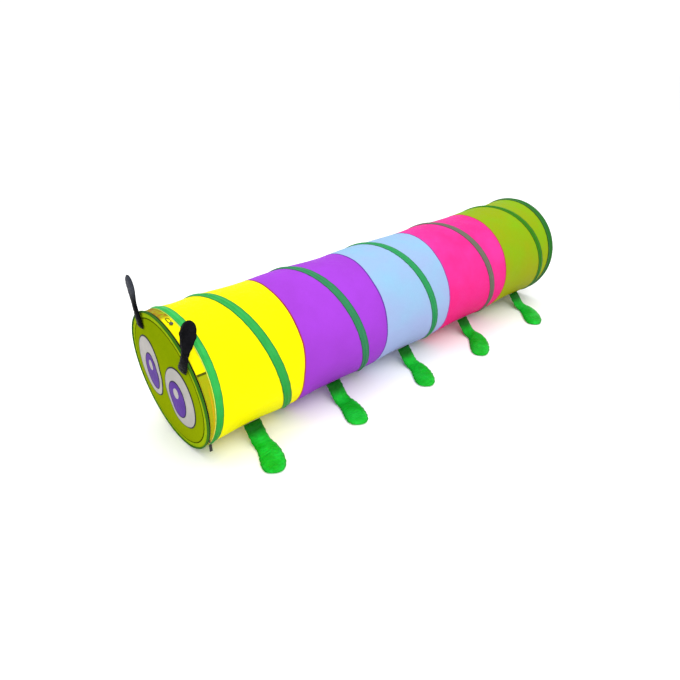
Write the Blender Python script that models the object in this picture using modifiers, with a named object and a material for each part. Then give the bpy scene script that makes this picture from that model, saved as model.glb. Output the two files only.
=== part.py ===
"""Pop-up play tunnel in the form of a many-legged grub: five fabric panels round one spring wire, a
zipped face flap, two padded antennae and ten padded legs. Metres, +Z up, head towards -X, origin
on the floor under the middle. The creature's left side faces -Y."""

import math

import bmesh
import bpy
from mathutils import Matrix, Vector

# Driving dimensions
TUNNEL_LENGTH = 1.830
TUNNEL_DIAMETER = 0.460
BASE_MIDDLE = 0.8865
WIRE = 0.0026
FABRIC = 0.0008
CLEARANCE = 0.0003
FACETS = 32

# Coil: how far along the tunnel each turn passes the top, and the panel seams
TURN_TOP_SHARES = (0.097, 0.279, 0.4826, 0.686, 0.895)
SEAM_SHARES = (0.1923, 0.3934, 0.587, 0.795)
HEAD_RING_SETBACK = 0.0265
HEAD_RING_BOW = 0.0091
HEAD_RING_BOW_TURN = 0.668
HEAD_RING_BOW_REACH = 0.21
COIL_EASE_TURNS = 0.08
COIL_EASE_SAMPLES = 9

# Binding tape that holds the wire
HEAD_TAPE_WIDTH = 0.022
TAPE_WIDTH = 0.022
TAPE_DOME_WIDTH = 0.010
TAPE_CREST_WIDTH = 0.006
TAPE_END_GAP_TURNS = 0.0004

# Panels
PANEL_SAG = 0.005
PANEL_STEPS = 6
SEAM_GAP = 0.0003

# Face flap
FACE_SETBACK = -0.0084
FACE_LEAN = 0.0124
FACE_LEAN_TURN = 0.52
FACE_ROLL_TURNS = 0.0315
FACE_THICKNESS = 0.0030
FACE_BULGE = 0.014
FLAP_HINGE_TURN = 0.25
PIPING = 0.008

# Zip round the flap
ZIP_THICKNESS = 0.0020
ZIP_WIDTH = 0.0050
ZIP_START_TURN = -0.625
ZIP_END_TURN = -0.03
ZIP_FACETS = 96
SLIDER_TURN = -0.158
SLIDER_LENGTH = 0.012
BRIDGE_THICKNESS = 0.0008
PULL_LENGTH = 0.028
PULL_WIDTH = 0.008
PULL_THICKNESS = 0.0014
PULL_ARM_WIDTH = 0.0022
HARD_EDGE = 0.0002

# Front trim behind the flap
TOGGLE_TURN = -0.453
TOGGLE_DIAMETER = 0.012
TOGGLE_HEIGHT = 0.007
LOOP_CORD = 0.0018
LOOP_LENGTH = 0.024
LOOP_WIDTH = 0.011
LOOP_OFFSET = 0.019
FACING_START_TURN = -0.332
FACING_END_TURN = -0.09
FACING_MARGIN = 0.0012

# Eyes, as places and half sizes on the flap
EYE_SPREAD = 0.090
EYE_HEIGHT = 0.004
EYE_HALF_WIDTH = 0.080
EYE_HALF_HEIGHT = 0.112
PATCH_SIDES = 24
IRIS_HALF_WIDTH = 0.045
IRIS_HALF_HEIGHT = 0.070
IRIS_DROP = 0.012
IRIS_INSET = 0.012
HIGHLIGHT_HALF_WIDTH = 0.013
HIGHLIGHT_HALF_HEIGHT = 0.019
HIGHLIGHT_RISE = 0.026
PATCH_LIFT = 0.0005

# Padded limbs, as shares of their length, width or thickness
LIMB_HEM = 0.003
LIMB_TIP_SHARE = 0.97
SHOULDER_WIDTH_SHARE = 0.72
SHOULDER_HEIGHT_SHARE = 0.86

# Antennae
ANTENNA_LENGTH = 0.178
ANTENNA_STEM_WIDTH = 0.025
ANTENNA_PADDLE_WIDTH = 0.052
ANTENNA_THICKNESS = 0.010
ANTENNA_ROOT_SHARE = 1.4
ANTENNA_NECK_SHARE = 0.46
ANTENNA_PEAK_SHARE = 0.79
ANTENNA_TWIST_SHARE = 0.6
ANTENNA_STEPS = 11
ANTENNA_EASE = 1.5
ANTENNA_POSES = {
    "left": {"turn": 0.645, "inset": 0.036, "splay": (55, -15), "pitch": (-18, 27), "twist": 30},
    "right": {"turn": 0.418, "inset": 0.042, "splay": (3, -10), "pitch": (-4, -4), "twist": 0},
}

# Legs
LEG_SHARES = (0.0974, 0.2873, 0.4895, 0.695, 0.912)
LEG_TURN = 0.111
LEG_REACH = 0.337
LEG_NECK_WIDTH = 0.058
LEG_PADDLE_WIDTH = 0.079
LEG_THICKNESS = 0.014
LEG_NECK_SHARE = 0.35
LEG_PEAK_SHARE = 0.76
LEG_TIP_OFFSETS = (0.052, 0.051, 0.080, 0.124, 0.115)
LEG_BEND_RADIUS = 0.050
LEG_FLAT_SHARES = (0.2, 0.4, 0.58, 0.74, 0.87, 0.96, 1.0)

RADIUS = TUNNEL_DIAMETER / 2
AXIS_HEIGHT = RADIUS * math.cos(math.pi / FACETS)
WIRE_RADIUS = RADIUS - FABRIC - CLEARANCE - WIRE / 2
PANEL_RADIUS = WIRE_RADIUS - WIRE / 2 - CLEARANCE
TAPE_FOOT_RADIUS = PANEL_RADIUS + CLEARANCE
PIPING_RADIUS = RADIUS - PIPING / 2
FLAP_DEPTH = PIPING / 2 + 2 * ZIP_THICKNESS + 3 * CLEARANCE
SLIDER_WIDTH = 2 * ZIP_THICKNESS + CLEARANCE
SLIDER_HEIGHT = RADIUS - PANEL_RADIUS
SLIDER_DEPTH = -(PIPING + FLAP_DEPTH * 2) / 4
PULL_SLOT = PULL_THICKNESS * math.sqrt(2) + CLEARANCE
PULL_PIVOT = SLIDER_HEIGHT + PULL_SLOT / 2
PULL_REACH = PULL_PIVOT + SLIDER_LENGTH / 2
PANEL_COLOURS = ("yellow", "purple", "blue", "pink", "olive")

PALETTE = {
    "yellow": (1.0, 0.93, 0.01), "purple": (0.40, 0.07, 0.78), "blue": (0.38, 0.66, 0.92),
    "pink": (1.0, 0.03, 0.35), "olive": (0.34, 0.54, 0.02),
    "face": (0.27, 0.35, 0.01), "rim": (0.07, 0.16, 0.01), "gold": (0.45, 0.40, 0.01),
    "white": (0.62, 0.60, 0.58), "violet": (0.14, 0.05, 0.36), "black": (0.01, 0.01, 0.012),
    "leg": (0.01, 0.48, 0.03), "steel": (0.45, 0.46, 0.48),
}
TAPE_COLOURS = {
    "head": (0.05, 0.42, 0.08), "yellow": (0.05, 0.42, 0.10), "purple": (0.05, 0.28, 0.13),
    "blue": (0.04, 0.36, 0.13), "pink": (0.19, 0.18, 0.15), "olive": (0.05, 0.26, 0.01),
    "tail": (0.03, 0.20, 0.03),
}


def clear_scene():
    for item in list(bpy.data.objects):
        bpy.data.objects.remove(item, do_unlink=True)


def make_collection(name):
    collection = bpy.data.collections.new(name)
    bpy.context.scene.collection.children.link(collection)
    return collection


def make_material(name, colour, roughness=0.6, metallic=0.0):
    material = bpy.data.materials.new(name)
    material.use_nodes = True
    shader = material.node_tree.nodes["Principled BSDF"]
    shader.inputs["Base Color"].default_value = (*colour, 1.0)
    shader.inputs["Roughness"].default_value = roughness
    shader.inputs["Metallic"].default_value = metallic
    return material


def cloth(name):
    return bpy.data.materials.get(name) or make_material(name, PALETTE[name], 0.45)


def move_to(item, collection):
    for owner in list(item.users_collection):
        owner.objects.unlink(item)
    collection.objects.link(item)


# Geometry of the coil, shared by the wire, the tapes and the panels

def facet_radius(turn, radius):
    """Radius of the many-sided tube at this turn, so that every layer has the same flat facets."""
    from_middle = (turn * FACETS + 0.5) % 1.0 - 0.5
    return radius * math.cos(math.pi / FACETS) / math.cos(2 * math.pi * from_middle / FACETS)


def around(turn, radius, axial):
    """A point on the tube. Turn 0 is the floor line, 0.25 the +Y side, 0.5 the top."""
    reach = facet_radius(turn, radius)
    angle = 2 * math.pi * turn
    return Vector((axial, reach * math.sin(angle), AXIS_HEIGHT - reach * math.cos(angle)))


def head_ring_axial(turn):
    """Where the head ring lies along the tunnel: flat, but bowed back on the left side."""
    away = (turn - HEAD_RING_BOW_TURN + 0.5) % 1.0 - 0.5
    share = min(abs(away) / HEAD_RING_BOW_REACH, 1.0)
    return HEAD_RING_SETBACK + HEAD_RING_BOW * math.cos(math.pi / 2 * share) ** 2


def face_axial(turn):
    """Where the flap's piping lies along the tunnel: its plane leans out at the top."""
    return FACE_SETBACK - FACE_LEAN * math.cos(2 * math.pi * (turn - FACE_LEAN_TURN))


TAIL_RING_AXIAL = TUNNEL_LENGTH - TAPE_WIDTH / 2
COIL_KNOTS = [(COIL_EASE_TURNS / 2, head_ring_axial(0))]
COIL_KNOTS += [(index + 0.5, share * TUNNEL_LENGTH) for index, share in enumerate(TURN_TOP_SHARES)]
TAIL_PITCH = COIL_KNOTS[-1][1] - COIL_KNOTS[-2][1]
TAIL_RING_TURN = COIL_KNOTS[-1][0] + (TAIL_RING_AXIAL - COIL_KNOTS[-1][1]) / TAIL_PITCH
COIL_KNOTS += [(TAIL_RING_TURN, TAIL_RING_AXIAL)]


def coil_knot_axial(turn):
    """The wire's place along the tunnel, with a corner at each knot."""
    if turn <= 0:
        return head_ring_axial(turn)
    before = COIL_KNOTS[0]
    if turn <= before[0]:
        return before[1]
    for after in COIL_KNOTS[1:]:
        if turn <= after[0]:
            share = (turn - before[0]) / (after[0] - before[0])
            return before[1] + share * (after[1] - before[1])
        before = after
    return TAIL_RING_AXIAL


def coil_axial(turn):
    """The wire's place along the tunnel, eased by averaging over a short stretch of the turn."""
    half = COIL_EASE_SAMPLES // 2
    steps = [COIL_EASE_TURNS * (index - half) / (2 * half) for index in range(COIL_EASE_SAMPLES)]
    return sum(coil_knot_axial(turn + step) for step in steps) / COIL_EASE_SAMPLES


def facet_edges():
    return [(step + 0.5) / FACETS for step in range(FACETS)]


def turn_stations(start, end, facets=FACETS):
    """The turns at which a tape, wire or strip has a cross section: its ends and each facet edge."""
    first = math.floor(start * facets - 0.5) + 1
    inner = []
    while (first + 0.5) / facets < end:
        if (first + 0.5) / facets > start:
            inner.append((first + 0.5) / facets)
        first += 1
    return [start] + inner + [end]


def clear_turn(start, direction, room):
    """The first turn from start at which the coil lies this far from its neighbouring turn."""
    turn = start
    while abs(coil_axial(turn + direction) - coil_axial(turn)) < room:
        turn += direction / (FACETS * 8)
    return turn


TAPE_ROOM = (HEAD_TAPE_WIDTH + TAPE_WIDTH) / 2 + 4 * CLEARANCE
HEAD_TAPE_START = clear_turn(-1.0, 1, TAPE_ROOM)
TAIL_TAPE_END = clear_turn(TAIL_RING_TURN + 1.0, -1, TAPE_WIDTH + 4 * CLEARANCE)


# Mesh builders

def finish(name, mesh_data, material, collection):
    """Turn a bmesh into a named object whose faces point outwards."""
    bmesh.ops.recalc_face_normals(mesh_data, faces=mesh_data.faces[:])
    if mesh_data.calc_volume(signed=True) < 0:
        bmesh.ops.reverse_faces(mesh_data, faces=mesh_data.faces[:])
    mesh = bpy.data.meshes.new(name)
    mesh_data.to_mesh(mesh)
    mesh_data.free()
    item = bpy.data.objects.new(name, mesh)
    item.data.materials.append(material)
    collection.objects.link(item)
    return item


def loft(rings, closed=False):
    """Skin rings of points in order. An open loft has a face at each end."""
    mesh_data = bmesh.new()
    loops = [[mesh_data.verts.new(point) for point in ring] for ring in rings]
    pairs = list(zip(loops, loops[1:]))
    if closed:
        pairs.append((loops[-1], loops[0]))
    for one, other in pairs:
        for index in range(len(one)):
            after = (index + 1) % len(one)
            mesh_data.faces.new((one[index], one[after], other[after], other[index]))
    if not closed:
        mesh_data.faces.new(loops[0])
        mesh_data.faces.new(loops[-1][::-1])
    return mesh_data


def round_profile(radius, sides):
    angles = [2 * math.pi * (index + 0.5) / sides for index in range(sides)]
    return [(radius * math.cos(angle), radius * math.sin(angle)) for angle in angles]


def tape_profile(width):
    """Section of a binding tape: flat feet on the panel and a dome over the wire, as (axial, radius)."""
    foot = TAPE_FOOT_RADIUS
    outer = [(-width / 2, foot + FABRIC), (-TAPE_DOME_WIDTH / 2, foot + FABRIC),
             (-TAPE_CREST_WIDTH / 2, RADIUS), (TAPE_CREST_WIDTH / 2, RADIUS),
             (TAPE_DOME_WIDTH / 2, foot + FABRIC), (width / 2, foot + FABRIC)]
    inner = [(width / 2, foot), (TAPE_DOME_WIDTH / 2 - FABRIC, foot),
             (TAPE_CREST_WIDTH / 2, RADIUS - FABRIC), (-TAPE_CREST_WIDTH / 2, RADIUS - FABRIC),
             (-TAPE_DOME_WIDTH / 2 + FABRIC, foot), (-width / 2, foot)]
    return outer + inner


def sweep_along_coil(profile, start, end, axial=coil_axial):
    """Loft a section of (axial, radius) points along a stretch of the coil."""
    rings = []
    for turn in turn_stations(start, end):
        rings.append([around(turn, radius, axial(turn) + offset) for offset, radius in profile])
    return loft(rings)


def padded_blade(points, across, widths, thicknesses):
    """A flat padded limb: the path of its underside, its width directions and its swell on the way."""
    hem = LIMB_HEM / 2
    rings = []
    for index, point in enumerate(points):
        before = points[max(index - 1, 0)]
        after = points[min(index + 1, len(points) - 1)]
        along = (after - before).normalized()
        side = (across[index] - along * across[index].dot(along)).normalized()
        up = along.cross(side)
        half, thick = widths[index] / 2, thicknesses[index]
        section = [(-half, hem), (-half + hem, 0), (half - hem, 0), (half, hem),
                   (half * SHOULDER_WIDTH_SHARE, thick * SHOULDER_HEIGHT_SHARE), (0, thick),
                   (-half * SHOULDER_WIDTH_SHARE, thick * SHOULDER_HEIGHT_SHARE)]
        rings.append([point + side * x + up * z for x, z in section])
    return loft(rings)


# Pieces of the tube

def build_wire(collection):
    section = [(x, WIRE_RADIUS + z) for x, z in round_profile(WIRE / 2, 6)]
    setback = WIRE / TUNNEL_DIAMETER
    mesh_data = sweep_along_coil(section, HEAD_TAPE_START + setback, TAIL_TAPE_END - setback)
    material = make_material("spring_steel", PALETTE["steel"], 0.35, 1.0)
    return finish("spring_wire", mesh_data, material, collection)


def build_tapes(collection):
    ends = [("head", HEAD_TAPE_START, 0.0)]
    ends += [(colour, index, index + 1) for index, colour in enumerate(PANEL_COLOURS)]
    ends[-1] = (PANEL_COLOURS[-1], len(PANEL_COLOURS) - 1, TAIL_RING_TURN)
    ends.append(("tail", TAIL_RING_TURN, TAIL_TAPE_END))
    for colour, start, end in ends:
        width = HEAD_TAPE_WIDTH if colour == "head" else TAPE_WIDTH
        mesh_data = sweep_along_coil(tape_profile(width), start + TAPE_END_GAP_TURNS,
                                     end - TAPE_END_GAP_TURNS)
        material = make_material("tape_" + colour, TAPE_COLOURS[colour], 0.5)
        finish("tape_" + colour, mesh_data, material, collection)


def panel_sag(turn, axial):
    """How far the cloth draws in between two turns of the wire."""
    base = turn % 1.0
    crossings = [coil_axial(base + count) for count in range(-1, len(PANEL_COLOURS) + 2)]
    crossings = sorted(set(crossings))
    for low, high in zip(crossings, crossings[1:]):
        if low <= axial <= high and high - low > TAPE_WIDTH:
            share = (axial - low) / (high - low)
            full = (high - low) / (TUNNEL_LENGTH / len(PANEL_COLOURS))
            return PANEL_SAG * min(full, 1.0) * math.sin(math.pi * share) ** 2
    return 0.0


def panel_ring(turn, front, back, steps):
    """One closed section of a panel's wall, along its outer side and back along its inner side."""
    axials = [front + (back - front) * step / steps for step in range(steps + 1)]
    outer = [around(turn, PANEL_RADIUS - panel_sag(turn, axial), axial) for axial in axials]
    inner = [around(turn, PANEL_RADIUS - FABRIC - panel_sag(turn, axial), axial) for axial in axials]
    return outer + inner[::-1]


def build_panels(collection):
    """Five panels, and the short front band that the head ring's tape joins to the first."""
    seams = [share * TUNNEL_LENGTH for share in SEAM_SHARES]
    edges = [lambda turn: face_axial(turn) + FLAP_DEPTH - SEAM_GAP / 2, head_ring_axial]
    edges += [lambda turn, seam=seam: seam for seam in seams]
    edges += [lambda turn: TUNNEL_LENGTH + SEAM_GAP / 2]
    names = ("front_band",) + tuple("panel_" + colour for colour in PANEL_COLOURS)
    colours = PANEL_COLOURS[:1] + PANEL_COLOURS
    for name, colour, front, back in zip(names, colours, edges, edges[1:]):
        steps = 1 if name == "front_band" else PANEL_STEPS
        rings = [panel_ring(turn, front(turn) + SEAM_GAP / 2, back(turn) - SEAM_GAP / 2, steps)
                 for turn in facet_edges()]
        finish(name, loft(rings, closed=True), cloth(colour), collection)


def build_facing(collection):
    """Olive facing strip on the tube's front edge, low on the left side."""
    rings = []
    for turn in turn_stations(FACING_START_TURN, FACING_END_TURN):
        front = face_axial(turn) + FLAP_DEPTH + FACING_MARGIN
        back = head_ring_axial(turn) - HEAD_TAPE_WIDTH / 2 - FACING_MARGIN
        radius = PANEL_RADIUS + CLEARANCE
        rings.append([around(turn, radius, front), around(turn, radius + FABRIC, front),
                      around(turn, radius + FABRIC, back), around(turn, radius, back)])
    finish("front_facing", loft(rings), cloth("gold"), collection)


# Pieces of the flap: built round the flap's own plane, as turn, radius and height over the plane

def flap_point(turn, radius, height):
    """A point of the flap. Height grows outwards, away from the tunnel."""
    angle = 2 * math.pi * turn
    return Vector((face_axial(turn) * radius / RADIUS + FACE_SETBACK * (1 - radius / RADIUS) - height,
                   radius * math.sin(angle), AXIS_HEIGHT - radius * math.cos(angle)))


def bulge(radius):
    return FACE_BULGE * (1 - (radius / PIPING_RADIUS) ** 2)


def build_piping(collection):
    section = round_profile(PIPING / 2, 6)
    rings = [[flap_point(turn, PIPING_RADIUS + x, z) for x, z in section] for turn in facet_edges()]
    return finish("flap_piping", loft(rings, closed=True), cloth("rim"), collection)


def build_face(collection):
    """The flap's cloth disc, two layers deep, with its outward bulge."""
    edge = PIPING_RADIUS - PIPING / 2 - CLEARANCE
    shares = (1.0, 0.8, 0.6, 0.4, 0.2)
    mesh_data = bmesh.new()
    sheets = []
    for depth in (0, FACE_THICKNESS):
        loops = [[mesh_data.verts.new(flap_point(turn, edge * share, bulge(edge * share) - depth))
                  for turn in facet_edges()] for share in shares]
        sheets.append(loops)
        for one, other in zip(loops, loops[1:]):
            for index in range(FACETS):
                after = (index + 1) % FACETS
                mesh_data.faces.new((one[index], one[after], other[after], other[index]))
        mesh_data.faces.new(loops[-1])
    front, back = sheets[0][0], sheets[1][0]
    for index in range(FACETS):
        after = (index + 1) % FACETS
        mesh_data.faces.new((front[index], front[after], back[after], back[index]))
    return finish("face_panel", mesh_data, cloth("face"), collection)


def on_face(side, height):
    """Turn and radius of a place on the face, given in the face's own upright frame."""
    roll = 2 * math.pi * FACE_ROLL_TURNS
    across = side * math.cos(roll) - height * math.sin(roll)
    up = side * math.sin(roll) + height * math.cos(roll)
    return math.atan2(across, -up) / (2 * math.pi), math.hypot(across, up)


def build_patch(name, side, height, half_width, half_height, lift, material, collection, shares):
    """An oval cloth patch that follows the flap's bulge, with a loop of points at each share."""
    mesh_data = bmesh.new()
    sheets = []
    for level in (lift, lift + FABRIC):
        loops = []
        for share in shares:
            loop = []
            for index in range(PATCH_SIDES):
                angle = 2 * math.pi * index / PATCH_SIDES
                turn, radius = on_face(side + half_width * share * math.cos(angle),
                                       height + half_height * share * math.sin(angle))
                loop.append(mesh_data.verts.new(flap_point(turn, radius, bulge(radius) + level)))
            loops.append(loop)
        for one, other in zip(loops, loops[1:]):
            for index in range(PATCH_SIDES):
                after = (index + 1) % PATCH_SIDES
                mesh_data.faces.new((one[index], one[after], other[after], other[index]))
        mesh_data.faces.new(loops[-1])
        sheets.append(loops[0])
    for index in range(PATCH_SIDES):
        after = (index + 1) % PATCH_SIDES
        mesh_data.faces.new((sheets[0][index], sheets[0][after], sheets[1][after], sheets[1][index]))
    return finish(name, mesh_data, material, collection)


def build_eyes(collection):
    white, violet = cloth("white"), cloth("violet")
    layer = FABRIC + PATCH_LIFT
    for name, sign in (("left", -1), ("right", 1)):
        eye = sign * EYE_SPREAD
        iris = eye - sign * IRIS_INSET
        build_patch("eye_white_" + name, eye, EYE_HEIGHT, EYE_HALF_WIDTH, EYE_HALF_HEIGHT,
                    PATCH_LIFT, white, collection, (1.0, 0.66, 0.33))
        build_patch("iris_" + name, iris, EYE_HEIGHT - IRIS_DROP, IRIS_HALF_WIDTH,
                    IRIS_HALF_HEIGHT, PATCH_LIFT + layer, violet, collection, (1.0, 0.5))
        build_patch("highlight_" + name, iris, EYE_HEIGHT - IRIS_DROP + HIGHLIGHT_RISE,
                    HIGHLIGHT_HALF_WIDTH, HIGHLIGHT_HALF_HEIGHT, PATCH_LIFT + 2 * layer,
                    white, collection, (1.0,))


def build_zip(collection):
    """The two halves of the zip lie side by side between the piping and the tube's front edge."""
    material = make_material("zip", PALETTE["black"], 0.4)
    outer = PANEL_RADIUS - 2 * CLEARANCE
    for name, count in (("zip_half_flap", 0), ("zip_half_tube", 1)):
        front = -PIPING / 2 - CLEARANCE - count * (ZIP_THICKNESS + CLEARANCE)
        rings = []
        for turn in turn_stations(ZIP_START_TURN, ZIP_END_TURN, ZIP_FACETS):
            rings.append([flap_point(turn, outer, front), flap_point(turn, outer - ZIP_WIDTH, front),
                          flap_point(turn, outer - ZIP_WIDTH, front - ZIP_THICKNESS),
                          flap_point(turn, outer, front - ZIP_THICKNESS)])
        finish(name, loft(rings), material, collection)


def build_flap_seam(collection):
    """Cloth strip that sews the flap to the tube where the zip doesn't reach; the flap folds on it."""
    outer = PANEL_RADIUS - CLEARANCE
    front, back = -PIPING / 2 - CLEARANCE, -FLAP_DEPTH + CLEARANCE
    margin = CLEARANCE / TUNNEL_DIAMETER
    rings = []
    for turn in turn_stations(ZIP_END_TURN + margin, ZIP_START_TURN + 1 - margin):
        rings.append([flap_point(turn, outer, front), flap_point(turn, outer - FABRIC, front),
                      flap_point(turn, outer - FABRIC, back), flap_point(turn, outer, back)])
    finish("flap_seam", loft(rings), cloth("yellow"), collection)


def make_empty(name, matrix, collection):
    empty = bpy.data.objects.new(name, None)
    empty.empty_display_size = TAPE_WIDTH
    collection.objects.link(empty)
    empty.matrix_world = matrix
    return empty


def flap_normal():
    """Square to the flap's plane, towards the tail: the line that the slider turns about."""
    angle = 2 * math.pi * FACE_LEAN_TURN
    slope = FACE_LEAN / RADIUS
    return Vector((1, slope * math.sin(angle), -slope * math.cos(angle))).normalized()


def hang(names, axis, carrier=None):
    """Parent pieces to the empty on their joint's axis, and that to the piece that carries it."""
    if carrier:
        axis.parent = carrier
        axis.matrix_parent_inverse = carrier.matrix_world.inverted()
    bpy.context.view_layer.update()
    for name in names:
        item = bpy.data.objects[name]
        item.parent = axis
        item.matrix_parent_inverse = axis.matrix_world.inverted()


def slider_frame():
    """X runs along the zip, Y along the tunnel and Z outwards at the slider's rest place."""
    along = flap_normal()
    middle = flap_point(SLIDER_TURN, PANEL_RADIUS, SLIDER_DEPTH)
    radial = middle - flap_point(SLIDER_TURN, 0, SLIDER_DEPTH)
    outward = (radial - along * radial.dot(along)).normalized()
    side = outward.cross(along)
    frame = Matrix((side, -along, outward)).transposed().to_4x4()
    frame.translation = middle
    return frame


def add_box(name, size, centre, material, collection):
    bpy.ops.mesh.primitive_cube_add(size=1, location=centre)
    item = bpy.context.object
    item.name = item.data.name = name
    item.scale = size
    bpy.ops.object.transform_apply(location=True, rotation=False, scale=True)
    modifier = item.modifiers.new("edges", "BEVEL")
    modifier.width = HARD_EDGE
    modifier.segments = 1
    bpy.ops.object.modifier_apply(modifier=modifier.name)
    item.data.materials.append(material)
    move_to(item, collection)
    return item


def cut(item, cutter, cutters, operation="DIFFERENCE"):
    move_to(cutter, cutters)
    cutter.hide_render = True
    cutter.display_type = "WIRE"
    modifier = item.modifiers.new("cut", "BOOLEAN")
    modifier.operation = operation
    modifier.object = cutter
    modifier.solver = "EXACT"
    bpy.context.view_layer.objects.active = item
    bpy.ops.object.modifier_apply(modifier=modifier.name)


def build_slider(collection, cutters):
    """Slider with its bridge, and a pull tab hinged in the bridge."""
    black = bpy.data.materials["zip"]
    frame = slider_frame()
    height = SLIDER_HEIGHT + PULL_SLOT + BRIDGE_THICKNESS
    slider = add_box("zip_slider", (SLIDER_LENGTH, SLIDER_WIDTH, height), (0, 0, height / 2), black,
                     collection)
    slot = add_box("slider_slot", (2 * PULL_SLOT, 2 * SLIDER_WIDTH, PULL_SLOT), (0, 0, PULL_PIVOT),
                   black, collection)
    cut(slider, slot, cutters)
    slider.matrix_world = frame
    pivot = Matrix.Translation(frame @ Vector((0, 0, PULL_PIVOT)))
    tab = build_pull_tab(black, collection, cutters)
    tab.matrix_world = pivot
    middle = Matrix.Translation(flap_point(SLIDER_TURN, 0, SLIDER_DEPTH))
    hang(["zip_slider"], make_empty("zip_slider_axis", middle, collection))
    hang(["zip_pull"], make_empty("zip_pull_axis", pivot, collection), slider)


def build_pull_tab(material, collection, cutters):
    """Pull tab about its own pivot: a pin through the bridge, an arm each side, and a strap."""
    inner = SLIDER_WIDTH / 2 + 2 * CLEARANCE
    width = PULL_WIDTH + 2 * inner
    tab = add_box("zip_pull", (width, PULL_THICKNESS, PULL_THICKNESS), (0, 0, 0), material,
                  collection)
    for sign in (-1, 1):
        middle = (sign * (inner + PULL_WIDTH / 4), 0, -PULL_REACH / 2)
        arm = add_box("pull_arm", (PULL_ARM_WIDTH, PULL_THICKNESS, PULL_REACH + PULL_THICKNESS),
                      middle, material, collection)
        cut(tab, arm, cutters, "UNION")
    strap = add_box("pull_strap", (width, PULL_THICKNESS, PULL_LENGTH),
                    (0, 0, -PULL_REACH - PULL_LENGTH / 2 + PULL_THICKNESS), material, collection)
    cut(tab, strap, cutters, "UNION")
    return tab


def surface_frame(turn, axial, radius):
    """Z outwards from the tube, X along the tunnel."""
    outward = (around(turn, radius, axial) - Vector((axial, 0, AXIS_HEIGHT))).normalized()
    along = Vector((1, 0, 0))
    frame = Matrix((along, outward.cross(along), outward)).transposed().to_4x4()
    frame.translation = around(turn, radius, axial)
    return frame


def build_toggle(collection):
    """Button and cord loop that hold the flap when it is rolled aside."""
    black = bpy.data.materials["zip"]
    front = face_axial(TOGGLE_TURN) + FLAP_DEPTH
    axial = (front + head_ring_axial(TOGGLE_TURN) - HEAD_TAPE_WIDTH / 2) / 2
    seat = PANEL_RADIUS + CLEARANCE
    bpy.ops.mesh.primitive_uv_sphere_add(segments=16, ring_count=8, radius=TOGGLE_DIAMETER / 2)
    button = bpy.context.object
    button.name = button.data.name = "toggle_button"
    button.data.materials.append(black)
    button.scale.z = TOGGLE_HEIGHT / TOGGLE_DIAMETER
    bpy.ops.object.transform_apply(location=False, rotation=False, scale=True)
    button.matrix_world = (surface_frame(TOGGLE_TURN, axial, seat)
                           @ Matrix.Translation((0, 0, TOGGLE_HEIGHT / 2)))
    move_to(button, collection)
    loop_turn = TOGGLE_TURN - LOOP_OFFSET / (math.pi * TUNNEL_DIAMETER)
    rings = []
    for index in range(16):
        angle = 2 * math.pi * index / 16
        place = Vector((LOOP_WIDTH / 2 * math.cos(angle), LOOP_LENGTH / 2 * math.sin(angle), 0))
        outward = place.normalized()
        rings.append([place + outward * x + Vector((0, 0, z + LOOP_CORD / 2))
                      for x, z in round_profile(LOOP_CORD / 2, 6)])
    loop = finish("toggle_loop", loft(rings, closed=True), black, collection)
    loop.matrix_world = surface_frame(loop_turn, axial, seat + LOOP_LENGTH ** 2 / (8 * PANEL_RADIUS))


def swell(share, start, neck, full, neck_share, peak):
    """Width along a limb: from its seam to its neck, out to its paddle and round at the tip."""
    if share < neck_share:
        return start + (neck - start) * share / neck_share
    if share < peak:
        blend = (share - neck_share) / (peak - neck_share)
        return neck + (full - neck) * (0.5 - 0.5 * math.cos(math.pi * blend))
    tip = min((share - peak) / (1 - peak), LIMB_TIP_SHARE)
    return full * math.sqrt(1 - tip ** 2)


def padding(share, thickness):
    """Thickness along a limb, full at the middle and down to the hem at its ends."""
    inside = min(max(share, 1 - LIMB_TIP_SHARE), LIMB_TIP_SHARE)
    return LIMB_HEM + (thickness - LIMB_HEM) * math.sqrt(math.sin(math.pi * inside))


def between(ends, share):
    """From the first value at the root to the second at the tip, most of the change near the root."""
    root, tip = ends
    return tip + (root - tip) * (1 - share) ** ANTENNA_EASE


def antenna_path(side, splay, pitch):
    """Middle of an antenna from its seam: splay leans it to its own side, pitch back over the tube."""
    point = Vector((0, 0, 0))
    points = [point]
    for index in range(ANTENNA_STEPS):
        share = (index + 0.5) / ANTENNA_STEPS
        sideways = math.radians(between(splay, share))
        back = math.radians(between(pitch, share))
        way = Vector((math.sin(back) * math.cos(sideways), side * math.sin(sideways),
                      math.cos(back) * math.cos(sideways)))
        point = point + way * (ANTENNA_LENGTH / ANTENNA_STEPS)
        points.append(point)
    return points


def face_lift(mesh_data, seat):
    """How far a limb has to move out from the flap's plane to lie on the face's cloth."""
    inner = PIPING_RADIUS - PIPING / 2
    lift = 0.0
    for vertex in mesh_data.verts:
        place = seat + vertex.co
        radius = math.hypot(place.y, place.z - AXIS_HEIGHT)
        if radius < inner:
            turn = math.atan2(place.y, AXIS_HEIGHT - place.z) / (2 * math.pi)
            lift = max(lift, place.x - flap_point(turn, radius, bulge(radius)).x)
    return lift + CLEARANCE


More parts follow.
